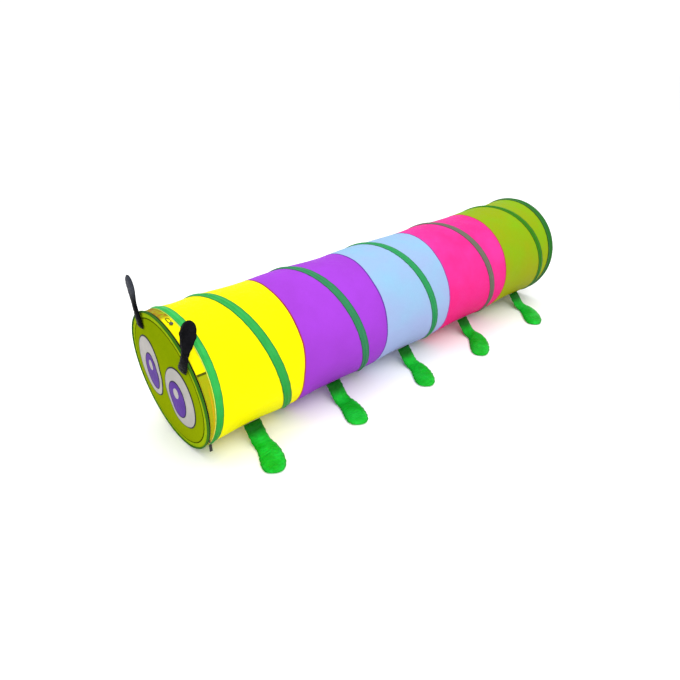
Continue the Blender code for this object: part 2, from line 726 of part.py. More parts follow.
def build_antenna(name, side, pose, collection):
    """One antenna: a padded paddle sewn to the flap, on an empty at its seam."""
    root_width = ANTENNA_STEM_WIDTH * ANTENNA_ROOT_SHARE
    seat = flap_point(pose["turn"], PIPING_RADIUS - PIPING / 2 - pose["inset"], 0)
    points = antenna_path(side, pose["splay"], pose["pitch"])
    shares = [index / ANTENNA_STEPS for index in range(ANTENNA_STEPS + 1)]
    widths = [swell(share, root_width, ANTENNA_STEM_WIDTH, ANTENNA_PADDLE_WIDTH, ANTENNA_NECK_SHARE,
                    ANTENNA_PEAK_SHARE) for share in shares]
    thick = [padding(share, ANTENNA_THICKNESS) for share in shares]
    twists = [pose["twist"] * min(share / ANTENNA_TWIST_SHARE, 1.0) for share in shares]
    across = [Matrix.Rotation(math.radians(angle), 3, "Z") @ Vector((0, 1, 0)) for angle in twists]
    mesh_data = padded_blade(points, across, widths, thick)
    seat.x -= face_lift(mesh_data, seat)
    blade = finish("antenna_" + name, mesh_data, cloth("black"), collection)
    blade.location = seat
    axis = make_empty("antenna_" + name + "_axis", Matrix.Translation(seat), collection)
    hang([blade.name], axis, bpy.data.objects["face_panel"])


def hang_flap(collection):
    """The flap swings on an upright line at the tube's side, in the middle of its sewn strip."""
    hinge = around(FLAP_HINGE_TURN, RADIUS, face_axial(FLAP_HINGE_TURN) - SLIDER_DEPTH)
    axis = make_empty("flap_axis", Matrix.Translation(hinge), collection)
    names = [item.name for item in collection.objects
             if item.name.startswith(("face_", "flap_piping", "zip_half_flap", "eye_", "iris_",
                                     "highlight_"))]
    hang(names, axis)


def leg_path(side, x, tip_offset):
    """Underside of a leg: out of the side seam, down to the floor, and along it towards the head."""
    turn = side * LEG_TURN
    sags = [panel_sag(turn, x + LEG_NECK_WIDTH * step / 8) for step in range(-4, 5)]
    surface = around(turn, PANEL_RADIUS - min(sags) + CLEARANCE, x)
    outward = (surface - Vector((x, 0, AXIS_HEIGHT))).normalized()
    slope = math.atan2(-outward.z, abs(outward.y))
    tangent = LEG_BEND_RADIUS * math.tan(slope / 2)
    corner = abs(surface.y) + surface.z / math.tan(slope)
    straight = surface.z / math.sin(slope) - tangent
    arc = LEG_BEND_RADIUS * slope
    flat = LEG_REACH - corner - tangent
    points, shares = [], []
    for length in leg_stations(straight, arc, flat):
        offset = 0.0
        if length <= straight:
            y = abs(surface.y) + length * math.cos(slope)
            z = surface.z - length * math.sin(slope)
        elif length <= straight + arc:
            angle = slope - (length - straight) / LEG_BEND_RADIUS
            y = corner + tangent - LEG_BEND_RADIUS * math.sin(angle)
            z = LEG_BEND_RADIUS * (1 - math.cos(angle))
        else:
            y = corner + tangent + length - straight - arc
            z = 0.0
            offset = tip_offset * ((length - straight - arc) / flat) ** 1.5
        points.append(Vector((x - offset, side * y, z)))
        shares.append(length / (straight + arc + flat))
    return points, shares


def leg_stations(straight, arc, flat):
    lengths = [0, straight * 0.5, straight]
    lengths += [straight + arc * step / 3 for step in (1, 2, 3)]
    lengths += [straight + arc + flat * share for share in LEG_FLAT_SHARES]
    return lengths


def build_leg(name, side, x, tip_offset, collection):
    """One leg, on an empty at its seam; side is +1 towards +Y."""
    points, shares = leg_path(side, x, tip_offset)
    widths = [swell(share, LEG_NECK_WIDTH, LEG_NECK_WIDTH, LEG_PADDLE_WIDTH, LEG_NECK_SHARE,
                    LEG_PEAK_SHARE) for share in shares]
    thick = [padding(share, LEG_THICKNESS) for share in shares]
    across = [Vector((-side, 0, 0))] * len(points)
    mesh_data = padded_blade(points, across, widths, thick)
    outward = (points[1] - points[0]).normalized()
    pivot = points[0] + outward.cross(across[0]) * LIMB_HEM
    for vertex in mesh_data.verts:
        vertex.co.z = max(vertex.co.z, 0.0)
    finish("leg_" + name, mesh_data, cloth("leg"), collection)
    hang(["leg_" + name], make_empty("leg_" + name + "_axis", Matrix.Translation(pivot), collection))


def build_legs(collection):
    for index, (share, offset) in enumerate(zip(LEG_SHARES, LEG_TIP_OFFSETS)):
        for name, side in (("left", -1), ("right", 1)):
            build_leg(name + "_" + str(index + 1), side, share * TUNNEL_LENGTH, offset, collection)


def report_spring_gap():
    """Print the least gap between one turn of the wire and the next, measured on points."""
    start, end = HEAD_TAPE_START, TAIL_TAPE_END
    steps = int((end - start) * FACETS * 2)
    turns = [start + (end - start) * step / steps for step in range(steps + 1)]
    points = [around(turn, WIRE_RADIUS, coil_axial(turn)) for turn in turns]
    least = min((one - points[other]).length for index, one in enumerate(points)
                for other in range(index + FACETS, len(points)))
    print("spring wire, least gap to itself (m):", round(least - WIRE, 4))


def build():
    clear_scene()
    tunnel = make_collection("play_tunnel")
    cutters = make_collection("cutters")
    build_wire(tunnel)
    build_tapes(tunnel)
    build_panels(tunnel)
    build_piping(tunnel)
    build_face(tunnel)
    build_eyes(tunnel)
    build_zip(tunnel)
    build_flap_seam(tunnel)
    build_slider(tunnel, cutters)
    build_toggle(tunnel)
    build_facing(tunnel)
    for name, side in (("left", -1), ("right", 1)):
        build_antenna(name, side, ANTENNA_POSES[name], tunnel)
    hang_flap(tunnel)
    build_legs(tunnel)
    for item in tunnel.objects:
        if not item.parent:
            item.location.x -= BASE_MIDDLE
    bpy.context.view_layer.update()
    report_spring_gap()


build()
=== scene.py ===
"""Looks of the many-legged play tunnel: cloth, tape, padding, trim, floor, light and camera.
Metres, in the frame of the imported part. A turn counts round the tube: 0 is the floor line,
0.25 the +Y side, 0.5 the top and 0.75 the -Y side, which the camera sees."""

import math

import bpy
import numpy as np
from mathutils import Matrix, Vector


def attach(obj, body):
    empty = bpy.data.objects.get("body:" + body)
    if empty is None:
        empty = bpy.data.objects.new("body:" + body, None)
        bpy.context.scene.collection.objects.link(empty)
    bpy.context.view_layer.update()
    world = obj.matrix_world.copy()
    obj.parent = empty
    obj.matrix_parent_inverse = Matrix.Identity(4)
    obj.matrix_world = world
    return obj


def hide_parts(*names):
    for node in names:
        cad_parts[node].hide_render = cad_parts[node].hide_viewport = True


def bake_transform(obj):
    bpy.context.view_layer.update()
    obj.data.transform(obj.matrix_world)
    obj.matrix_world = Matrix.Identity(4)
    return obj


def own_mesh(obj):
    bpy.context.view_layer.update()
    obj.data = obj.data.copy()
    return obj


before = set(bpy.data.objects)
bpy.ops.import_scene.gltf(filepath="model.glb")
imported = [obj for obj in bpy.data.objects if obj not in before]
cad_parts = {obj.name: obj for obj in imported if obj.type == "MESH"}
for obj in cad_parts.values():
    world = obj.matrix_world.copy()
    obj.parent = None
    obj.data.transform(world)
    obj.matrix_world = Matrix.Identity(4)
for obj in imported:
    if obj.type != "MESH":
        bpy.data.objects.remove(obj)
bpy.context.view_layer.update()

# Tube and coil
RADIUS = 0.230
AXIS_HEIGHT = 0.22889
TAPE_RADIUS = 0.22885
CLOTH_RADIUS = 0.2250
GIRTH = 2 * math.pi * CLOTH_RADIUS
CLOTH = 0.0005
PANEL_SAG = 0.0050
HEAD_X = -0.8865
TUNNEL_LENGTH = 1.830
HEAD_RING_BACK = 0.0265
HEAD_RING_BOW = 0.0091
HEAD_RING_BOW_TURN = 0.668
HEAD_RING_BOW_REACH = 0.21
TURN_TOPS = (0.17751, 0.51057, 0.88316, 1.25538, 1.63785)
SEAMS = (0.35191, 0.71992, 1.07421, 1.45485)
SEAM_WIDTH = 0.0056
SEAM_KINK = 0.0075
TAIL_RING = 1.819
TAIL_RING_TURN = 4.97363
HEAD_TAPE_TURNS = (-0.88672, 0.0)
TAIL_TAPE_TURNS = (4.97363, 5.91113)
EASE = 0.08
TAPE_FRONT = 0.011
TAPE_DOME = 0.0060
HEAD_TAPE_EDGES = (-0.011, 0.015)
COIL_TAPE_EDGES = (-0.0165, 0.0165)
TAIL_TAPE_EDGES = (-0.0245, 0.015)
WIRE = 0.0026
WIRE_LINE_RADIUS = 0.22685
WIRE_END_TURN = 0.002
COLOURS = ("yellow", "purple", "blue", "pink", "olive")

# Small shapes of the tube's cloth and tape: heights, and how far they reach
PUCKER = 0.00035
PUCKER_REACH = 0.030
SWELL = 0.0010
CREASE = 0.0018
CREASE_START = 0.017
CREASE_REACH = 0.035
CLOTH_DROP = 0.0006
SEAM_DIP = 0.0012
SEAM_DIP_REACH = 0.0035
SEAM_RISE = 0.0005
TAPE_FOOT = 0.0004
THIN = 0.0003

# Face flap and its zip
FACE_X = -0.0084
FACE_LEAN = 0.0124
FACE_LEAN_TURN = 0.52
FACE_ROLL = 0.0315
FACE_BULGE = 0.014
PIPING = 0.008
PIPING_RADIUS = 0.226
FACE_EDGE = PIPING_RADIUS - PIPING / 2 + 0.0012
FLAP_DEPTH = 0.0089
ZIP_TURNS = (-0.625, -0.03)
ZIP_DEPTHS = (-0.0053, -0.0076)
SLIDER_TURN = -0.158
SLIDER_DEPTH = -0.00645
SLIDER_RADIUS = 0.2260
ZIP_PITCH = 0.0026
ZIP_COIL_RADIUS = 0.2243
ZIP_COIL_HALF = (0.0011, 0.0007)
ZIP_THREAD = 0.00032
ZIP_TAPE_RADIUS = 0.2252
ZIP_TAPE_WIDTH = 0.0045
FACING_TURNS = (-0.332, -0.09)
EDGE_LINE_TURNS = (-0.62, -0.09)
LINE_WIDTH = 0.0026
TOGGLE_TURN = -0.453
TOGGLE_BUTTON_RADIUS = 0.0060
TOGGLE_THICKNESS = 0.0026
TOGGLE_ROUNDING = 0.0011
TOGGLE_HEIGHT = 0.0030
LOOP_TURN = -0.4661
LOOP_HALF = (0.012, 0.0055)
LOOP_CORD = 0.0018
FRONT_BAND_WIDTH = 0.027
FACING_WIDTH = 0.012
STRIP_START = 0.0030
STRIP_WIDTH = FLAP_DEPTH - 0.0024
STRIP_FOLD = 0.0010
FACE_CLOTH = 0.0012

# Slider and pull. A block's name, size, height of its middle and rounding;
# a ring's name, radius, thickness, height of its middle, segments and stretch along the zip
PULL_PIVOT = 0.00514
SLIDER_BLOCKS = (("slider_body", (0.0118, 0.0043, 0.0016), 0.0008, 0.0004),
                 ("slider_lid", (0.0110, 0.0040, 0.0012), 0.0032, 0.0004),
                 ("slider_post", (0.0030, 0.0016, 0.0020), 0.0022, 0.0003))
SLIDER_RING = ("slider_bridge", 0.0021, 0.0005, 0.0044, 32, 1.6)
PULL_BLOCKS = (("pull_strap", (0.0098, 0.0016, 0.0245), -0.0215, 0.0007),
               ("pull_tip", (0.0082, 0.0022, 0.0120), -0.0265, 0.0008))
PULL_RING = ("pull_ring", 0.0042, 0.0007, -0.0042, 40, 1)

# The left is the -Y side, which the camera sees
SIDES = (("left", -1), ("right", 1))

# Eyes
EYE_SPREAD = 0.090
EYE_HEIGHT = 0.004
EYE_HALF = (0.080, 0.112)
IRIS_HALF = (0.045, 0.070)
IRIS_INSET = 0.012
IRIS_DROP = 0.012
HIGHLIGHT_HALF = (0.013, 0.019)
HIGHLIGHT_RISE = 0.026
WHITE_LIFT = 0.0016
IRIS_LIFT = 0.0025
HIGHLIGHT_LIFT = 0.0034
BORDER_SHARE = 0.925
BORDER_GROOVE = 0.0010
FACE_SWELL = 0.0010
FACE_CREASE = 0.0010
FACE_GATHER = 0.00035

# Padded limbs
HEM = 0.0026
HEM_THICKNESS = 0.0010
HEM_WAVE = 0.0007
SEAM_SHARE = 0.32
END_SHARE = 0.10
LIMB_PUCKER = 0.16
LIMB_CREASE = 0.0034
ANTENNA_LENGTH = 0.178
ANTENNA_STEM = 0.025
ANTENNA_ROOT_SHARE = 1.4
ANTENNA_NECK_SHARE = 0.46
ANTENNA_PEAK_SHARE = 0.79
ANTENNA_PADDLE = 0.052
ANTENNA_THICKNESS = 0.0105
ANTENNA_SEAT_HEIGHT = 0.0058
ANTENNA_STEPS = 60
ANTENNA_POSES = {
    "left": {"turn": 0.645, "inset": 0.036, "splay": (55, -15), "pitch": (-18, 27), "twist": 30},
    "right": {"turn": 0.418, "inset": 0.042, "splay": (3, -10), "pitch": (-4, -4), "twist": 0},
}
LEG_X = (-0.70826, -0.36074, 0.00928, 0.38535, 0.78246)
LEG_TURN = 0.111
LEG_REACH = 0.337
LEG_NECK = 0.063
LEG_PADDLE = 0.079
LEG_NECK_SHARE = 0.31
LEG_PEAK_SHARE = 0.76
LEG_BLUNT = 2.7
LEG_THICKNESS = 0.0150
LEG_TIP_OFFSETS = (0.052, 0.051, 0.080, 0.124, 0.115)
LEG_BEND = 0.050
LEG_SWEEP = 1.5
LEG_SEAT_DEPTH = 0.0010

# Camera and light: the camera's place and turns are fitted to the photograph
CAMERA_PLACE = (-1.4516, -1.4172, 1.1427)
CAMERA_TURNS = (("Z", -41.56), ("X", 61.44), ("Z", -0.776))
LENS = 29.425
SENSOR_WIDTH = 36
SKY_STRENGTH = 1.06
LAMP_AIM = (0, 0, 0.2)
LAMPS = (("key", (-1.6, -2.6, 3.0), 2.5, 60), ("top", (0.6, 0.4, 3.6), 4.0, 60))
FLOOR_SIZE = 40
FLOOR_DROP = 0.0004


# Working with Blender

def deselect():
    if bpy.context.object and bpy.context.object.mode != "OBJECT":
        bpy.ops.object.mode_set(mode="OBJECT")
    bpy.ops.object.select_all(action="DESELECT")


def activate(piece):
    deselect()
    piece.select_set(True)
    bpy.context.view_layer.objects.active = piece


def apply_modifier(piece, kind, **settings):
    activate(piece)
    modifier = piece.modifiers.new(kind.lower(), kind)
    for key, value in settings.items():
        setattr(modifier, key, value)
    bpy.ops.object.modifier_apply(modifier=modifier.name)


def edit_mesh(piece, *steps):
    """Run mesh operators on all of a piece's mesh."""
    activate(piece)
    bpy.ops.object.mode_set(mode="EDIT")
    bpy.ops.mesh.select_all(action="SELECT")
    for operator, settings in steps:
        operator(**settings)
    bpy.ops.object.mode_set(mode="OBJECT")


def shade(piece, angle=None):
    activate(piece)
    if angle:
        bpy.ops.object.shade_smooth_by_angle(angle=math.radians(angle))
    else:
        bpy.ops.object.shade_smooth()


def points_of(piece):
    flat = np.empty(len(piece.data.vertices) * 3)
    piece.data.vertices.foreach_get("co", flat)
    return flat.reshape(-1, 3)


def move_points(piece, points):
    piece.data.vertices.foreach_set("co", np.asarray(points, float).ravel())
    piece.data.update()


def add_shape(name, operator, **settings):
    deselect()
    operator(**settings)
    piece = bpy.context.object
    piece.name = piece.data.name = name
    return piece


def flat_sheet(name, across, along, place, thickness=0.0, closed=False):
    """A flat sheet of cloth, laid where place puts each (across, along) share of it."""
    piece = add_shape(name, bpy.ops.mesh.primitive_grid_add, x_subdivisions=across,
                      y_subdivisions=along, size=2)
    shares = (points_of(piece)[:, :2] + 1) / 2
    move_points(piece, place(shares[:, 0], shares[:, 1]))
    if closed:
        edit_mesh(piece, (bpy.ops.mesh.remove_doubles, {"threshold": 0.00003}))
    if thickness:
        apply_modifier(piece, "SOLIDIFY", thickness=thickness, offset=-1.0)
    shade(piece)
    return piece


def closed_skin(name, across, along, place):
    """A sheet whose two long edges meet and whose ends are shut: a padded form or a cord."""
    piece = flat_sheet(name, across, along, place, closed=True)
    edit_mesh(piece, (bpy.ops.mesh.fill_holes, {"sides": 0}),
              (bpy.ops.mesh.normals_make_consistent, {"inside": False}))
    shade(piece)
    return piece


def unit(vectors):
    return vectors / np.linalg.norm(vectors, axis=1, keepdims=True)


def cord_skin(name, path, reference, radius, steps, sides=12):
    """A round cord along path(share), with reference(share) never along the cord."""
    def place(u, v):
        tangent = unit(path(v + 0.0002) - path(v - 0.0002))
        side = unit(np.cross(tangent, reference(v)))
        up = np.cross(side, tangent)
        angle = (2 * np.pi * u)[:, None]
        size = radius(v)[:, None] if callable(radius) else radius
        return path(v) + size * (np.cos(angle) * side + np.sin(angle) * up)

    return closed_skin(name, sides, steps, place)


def finished(piece, body, nodes, material):
    """Give a piece its finish, hide the CAD nodes it stands for and put it on the body it moves with."""
    piece.data.materials.clear()
    piece.data.materials.append(material)
    for node in nodes:
        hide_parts(node)
    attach(piece, body)
    return piece


def fold_up(piece):
    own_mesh(piece)


# Random cloth shapes, the same on every run

def waves(a, b, seed, counts, lengths, number):
    """Soft waves over two directions, about -1 to 1, whole in number over a share a."""
    draw = np.random.default_rng(seed)
    total = np.zeros_like(b)
    for _ in range(number):
        count = int(draw.integers(counts[0], counts[1] + 1)) * draw.choice((-1, 1))
        length = draw.uniform(*lengths)
        total += np.sin(2 * np.pi * (count * a + b / length) + draw.uniform(0, 2 * np.pi))
    return total / math.sqrt(number)


def folds(a, b, seed, counts, lengths, number):
    """Narrow creases with calm cloth between them, 0 to about 1."""
    draw = np.random.default_rng(seed)
    total = np.zeros_like(b)
    for _ in range(number):
        count = int(draw.integers(counts[0], counts[1] + 1)) * 2 * draw.choice((-1, 1))
        length = draw.uniform(*lengths)
        line = np.sin(np.pi * (count * a + b / length) + draw.uniform(0, 2 * np.pi))
        total += (1 - np.abs(line)) ** 6
    return total / number


# The coil's line, and places on the tube and on the flap

def between(ends, share):
    return ends[0] + (ends[1] - ends[0]) * share


def head_ring_x(turn):
    away = (turn - HEAD_RING_BOW_TURN + 0.5) % 1.0 - 0.5
    share = np.minimum(np.abs(away) / HEAD_RING_BOW_REACH, 1.0)
    return HEAD_X + HEAD_RING_BACK + HEAD_RING_BOW * np.cos(np.pi / 2 * share) ** 2


def face_x(turn):
    return HEAD_X + FACE_X - FACE_LEAN * np.cos(2 * np.pi * (turn - FACE_LEAN_TURN))


def coil_x(turn):
    turn = np.asarray(turn, float)
    knots = [EASE / 2] + [index + 0.5 for index in range(5)] + [TAIL_RING_TURN]
    places = [head_ring_x(0.0)] + [HEAD_X + top for top in TURN_TOPS] + [HEAD_X + TAIL_RING]
    total = np.zeros_like(turn)
    steps = np.linspace(-EASE / 2, EASE / 2, 9)
    for step in steps:
        here = turn + step
        total += np.where(here <= 0, head_ring_x(here), np.interp(here, knots, places))
    return total / len(steps)


def on_tube(turn, radius, x):
    angle = 2 * np.pi * turn
    return np.stack([x + 0 * angle, radius * np.sin(angle), AXIS_HEIGHT - radius * np.cos(angle)], 1)


def radial(turn):
    angle = 2 * np.pi * turn
    return np.stack([0 * angle, np.sin(angle), -np.cos(angle)], 1)


def bulge(radius):
    return FACE_BULGE * (1 - (radius / PIPING_RADIUS) ** 2)


def face_height(turn, radius):
    """Height of the flap's cloth: bulged by its hoop, with soft swells and creases."""
    share = radius / FACE_EDGE
    swells = FACE_SWELL * waves(turn, 2 * share, 140, (1, 4), (0.9, 2.5), 6)
    creases = FACE_CREASE * folds(turn, share, 142, (1, 3), (0.5, 1.2), 4)
    return bulge(radius) + (swells - creases) * np.sin(np.pi * share)


def on_flap(turn, radius, height):
    """A place on the flap. Height grows outwards, away from the tunnel."""
    share = radius / RADIUS
    x = (face_x(turn) - HEAD_X) * share + FACE_X * (1 - share) + HEAD_X - height
    return on_tube(turn, radius, x)


def sag(turn, x):
    """How far the cloth draws in between two turns of the wire."""
    base = turn % 1.0
    drawn = np.zeros_like(x)
    for count in range(-1, 6):
        low = coil_x(base + count)
        gap = np.maximum(coil_x(base + count + 1) - low, 1e-6)
        share = np.clip((x - low) / gap, 0, 1)
        full = np.minimum(gap / (TUNNEL_LENGTH / 5), 1.0)
        drawn += np.where(gap > 2 * TAPE_FRONT, PANEL_SAG * full * np.sin(np.pi * share) ** 2, 0)
    return drawn


def wire_distance(turn, x):
    """How far a point of the cloth lies from the nearest turn of the wire."""
    base = turn % 1.0
    return np.min([np.abs(coil_x(base + count) - x) for count in range(-1, 7)], axis=0)


# Shader groups

def node_group(name, inputs, outputs):
    group = bpy.data.node_groups.new(name, "ShaderNodeTree")
    for title, kind, value in inputs:
        socket = group.interface.new_socket(title, in_out="INPUT", socket_type="NodeSocket" + kind)
        socket.default_value = value
    for title, kind in outputs:
        group.interface.new_socket(title, in_out="OUTPUT", socket_type="NodeSocket" + kind)
    return group, group.nodes.new("NodeGroupInput").outputs, group.nodes.new("NodeGroupOutput").inputs


def connect(tree, socket, source):
    """Link a socket, or set its value where the source is a value. A colour has three values."""
    if isinstance(source, bpy.types.NodeSocket):
        tree.links.new(source, socket)
    else:
        socket.default_value = (*source, 1) if socket.type == "RGBA" else source


def feed(tree, node, sources):
    for name, source in sources.items():
        socket = next(item for item in node.inputs if name in (item.identifier, item.name))
        connect(tree, socket, source)


def add_node(tree, kind, sources=None, **settings):
    node = tree.nodes.new("ShaderNode" + kind)
    for key, value in settings.items():
        setattr(node, key, value)
    feed(tree, node, sources or {})
    return node


def maths(tree, operation, *sources):
    node = tree.nodes.new("ShaderNodeMath")
    node.operation = operation
    for socket, source in zip(node.inputs, sources):
        connect(tree, socket, source)
    return node.outputs[0]


def ramp(tree, value, low, high):
    return add_node(tree, "MapRange", {"Value": value, "From Min": low, "From Max": high}).outputs[0]


def mix(tree, share, one, other):
    node = add_node(tree, "Mix", data_type="RGBA")
    feed(tree, node, {"Factor_Float": share, "A_Color": one, "B_Color": other})
    return next(item for item in node.outputs if item.identifier == "Result_Color")


def bump(tree, height, strength, distance, below=None):
    sources = {"Height": height, "Strength": strength, "Distance": distance}
    if below:
        sources["Normal"] = below
    return add_node(tree, "Bump", sources).outputs[0]


def parts_of(tree, place="UV"):
    """The three parts of a piece's own map, or of its plain place."""
    return add_node(tree, "SeparateXYZ", {"Vector": add_node(tree, "TexCoord").outputs[place]}).outputs


def noise_at(tree, place, size, **settings):
    """Soft noise whose spots are about one size across."""
    rate = maths(tree, "DIVIDE", 1.0, size)
    return add_node(tree, "TexNoise", {"Vector": place, "Scale": rate, **settings}).outputs[0]


def darker(colour, share):
    return [share * value for value in colour]


def make_weave():
    """Plain weave: fine threads over and under, from a map in metres."""
    group, given, made = node_group(
        "weave", [("Map", "Vector", (0, 0, 0)), ("Thread", "Float", 0.0005)],
        [("Height", "Float"), ("Gaps", "Float")])
    parts = add_node(group, "SeparateXYZ", {"Vector": given["Map"]}).outputs
    rate = maths(group, "DIVIDE", math.pi, given["Thread"])
    warp = maths(group, "SINE", maths(group, "MULTIPLY", parts[0], rate))
    weft = maths(group, "SINE", maths(group, "MULTIPLY", parts[1], rate))
    crossing = maths(group, "MULTIPLY", warp, weft)
    valleys = maths(group, "SUBTRACT", 1.0, maths(group, "ABSOLUTE", crossing))
    group.links.new(maths(group, "MULTIPLY_ADD", crossing, 0.5, 0.5), made["Height"])
    group.links.new(maths(group, "POWER", valleys, 3.0), made["Gaps"])
    return group


def make_mottle():
    """Slow change of shade over a cloth, as thin nylon has from its dye."""
    group, given, made = node_group(
        "mottle", [("Colour", "Color", (1, 1, 1, 1)), ("Tint", "Color", (1, 1, 1, 1)),
                   ("Amount", "Float", 0.2), ("Size", "Float", 0.1)],
        [("Colour", "Color"), ("Patches", "Float")])
    place = add_node(group, "TexCoord").outputs["Object"]
    patches = ramp(group, noise_at(group, place, given["Size"], Detail=3.0), 0.35, 0.65)
    share = maths(group, "MULTIPLY", patches, given["Amount"])
    group.links.new(mix(group, share, given["Colour"], given["Tint"]), made["Colour"])
    group.links.new(patches, made["Patches"])
    return group


def make_crinkle():
    """Small creases of cloth as a height, drawn out along the way it is pulled."""
    group, given, made = node_group(
        "crinkle", [("Pull", "Vector", (1, 1, 1)), ("Size", "Float", 0.02)], [("Height", "Float")])
    place = add_node(group, "TexCoord").outputs["Object"]
    pulled = add_node(group, "VectorMath", {"Vector": place, "Vector_001": given["Pull"]},
                      operation="MULTIPLY")
    noise = noise_at(group, pulled.outputs[0], given["Size"], Detail=4.0, Distortion=0.8)
    ridge = maths(group, "ABSOLUTE", maths(group, "SUBTRACT", noise, 0.5))
    group.links.new(maths(group, "POWER", maths(group, "MULTIPLY_ADD", ridge, -2.0, 1.0), 2.0),
                    made["Height"])
    return group


def make_height_shade():
    """Painted shade: a colour that changes with height, as the light from above leaves it."""
    group, given, made = node_group(
        "height_shade", [("Colour", "Color", (1, 1, 1, 1)), ("Other", "Color", (1, 1, 1, 1)),
                 ("Start", "Float", 0.0), ("End", "Float", 0.1)], [("Colour", "Color")])
    height = parts_of(group, "Object")[2]
    share = add_node(group, "MapRange", {"Value": height, "From Min": given["Start"],
                                         "From Max": given["End"]}, interpolation_type="SMOOTHSTEP")
    group.links.new(mix(group, share.outputs[0], given["Colour"], given["Other"]), made["Colour"])
    return group


def make_stitches():
    """Rows of stitches beside both edges of a strip, from its own map: 1 on a thread."""
    group, given, made = node_group(
        "stitches", [("Across", "Float", 0.5), ("Along", "Float", 0.0), ("Row", "Float", 0.8),
                     ("Half", "Float", 0.05), ("Stitch", "Float", 0.003)],
        [("Thread", "Float"), ("Edge", "Float")])
    aside = maths(group, "ABSOLUTE", maths(group, "SUBTRACT", given["Across"], 0.5))
    edge = maths(group, "MULTIPLY", aside, 2.0)
    row = maths(group, "COMPARE", edge, given["Row"], given["Half"])
    dash = maths(group, "FRACT", maths(group, "DIVIDE", given["Along"], given["Stitch"]))
    group.links.new(maths(group, "MULTIPLY", row, maths(group, "LESS_THAN", dash, 0.72)), made["Thread"])
    group.links.new(edge, made["Edge"])
    return group


GROUPS = {"weave": make_weave(), "mottle": make_mottle(), "crinkle": make_crinkle(),
          "height_shade": make_height_shade(), "stitches": make_stitches()}


def use(tree, name, sources):
    node = tree.nodes.new("ShaderNodeGroup")
    node.node_tree = GROUPS[name]
    feed(tree, node, sources)
    return node.outputs


def mottled(tree, colour, tint, amount, size):
    return use(tree, "mottle", {"Colour": colour, "Tint": tint, "Amount": amount, "Size": size})["Colour"]


# Painted shade: colour at the start height, other at the end height
def shaded_by_height(tree, colour, other, start, end):
    return use(tree, "height_shade", {"Colour": colour, "Other": other, "Start": start, "End": end})["Colour"]


# Materials

def new_material(name, roughness, specular=0.015, metallic=0.0, colour=(1, 1, 1)):
    material = bpy.data.materials.new(name)
    material.use_nodes = True
    shader = material.node_tree.nodes["Principled BSDF"]
    feed(material.node_tree, shader, {"Base Color": colour, "Roughness": roughness,
                                      "Metallic": metallic, "Specular IOR Level": specular})
    return material, material.node_tree, shader


def map_in_metres(tree, size):
    """The piece's own map in metres, or its plain place where it has no size."""
    if size is None:
        parts = parts_of(tree, "Object")
        return add_node(tree, "CombineXYZ", {"X": parts[1], "Y": parts[2]}).outputs[0]
    shares = add_node(tree, "TexCoord").outputs["UV"]
    return add_node(tree, "VectorMath", {"Vector": shares, "Vector_001": (*size, 1.0)},
                    operation="MULTIPLY").outputs[0]


def cloth_material(name, looks, size=None, specular=0.015, amount=0.55, patch=0.12, crease=0.25,
                   pull=(1, 1, 1), crease_size=0.05, thread=0.0006):
    """Thin nylon in its dye colour: slow shade changes, creases, a plain weave, and painted light and
    shade that turn it to its tint towards the floor.
    """
    material, tree, shader = new_material(name, 0.5, specular)
    colour, tint = looks
    # Painted light and shade: the tint low down and the main colour high up, under random tint patches
    dyed_and_shaded = mottled(tree, shaded_by_height(tree, tint, colour, 0.02, 0.42), tint, amount, patch)
    weave = use(tree, "weave", {"Map": map_in_metres(tree, size), "Thread": thread})
    shadow = maths(tree, "MULTIPLY", weave["Gaps"], 0.12)
    crinkle = use(tree, "crinkle", {"Pull": pull, "Size": crease_size})
    creases = bump(tree, crinkle["Height"], crease, 0.004)
    feed(tree, shader, {"Base Color": mix(tree, shadow, dyed_and_shaded, darker(tint, 0.6)),
                        "Normal": bump(tree, weave["Height"], 0.3, 0.0003, creases)})
    return material


def tape_material(name, looks, size):
    """Slightly sheer tape: a dark rolled edge, a row of stitches on each side, and painted light that
    makes its upper part lighter.
    """
    material, tree, shader = new_material(name, 0.42, 0.06)
    colour, tint = looks
    place = map_in_metres(tree, size)
    metres = add_node(tree, "SeparateXYZ", {"Vector": place}).outputs
    across = maths(tree, "DIVIDE", metres[1], size[1])
    sewn = use(tree, "stitches", {"Across": across, "Along": metres[0], "Row": 0.78, "Half": 0.045,
                                  "Stitch": 0.0032})
    # Painted light: the main colour low down and the lighter tint high up
    dyed_and_shaded = mottled(tree, shaded_by_height(tree, colour, tint, 0.04, 0.34), colour, 0.35, 0.05)
    hem = maths(tree, "MULTIPLY", ramp(tree, sewn["Edge"], 0.78, 0.95), 0.8)
    dark = maths(tree, "MAXIMUM", hem, maths(tree, "MULTIPLY", sewn["Thread"], 0.3))
    weave = use(tree, "weave", {"Map": place, "Thread": 0.0007})
    raised = maths(tree, "ADD", maths(tree, "MULTIPLY", weave["Height"], 0.4), sewn["Thread"])
    feed(tree, shader, {"Base Color": mix(tree, dark, dyed_and_shaded, darker(colour, 0.35)),
                        "Normal": bump(tree, raised, 0.5, 0.0005)})
    return material


def patch_material(name, looks, outline, edge):
    """Satin patch with a close-stitched outline; edge is the share of its radius left plain."""
    material, tree, shader = new_material(name, 0.45)
    parts = parts_of(tree)
    rim = ramp(tree, parts[1], edge - 0.006, edge + 0.006)
    threads = maths(tree, "SINE", maths(tree, "MULTIPLY", parts[0], 2400.0))
    lit = mix(tree, maths(tree, "MULTIPLY_ADD", threads, 0.12, 0.12), outline,
              [2.2 * value + 0.02 for value in outline])
    raised = maths(tree, "MULTIPLY", threads, rim)
    feed(tree, shader, {"Base Color": mix(tree, rim, mottled(tree, *looks, 0.8, 0.05), lit),
                        "Normal": bump(tree, raised, 0.5, 0.0004)})
    return material


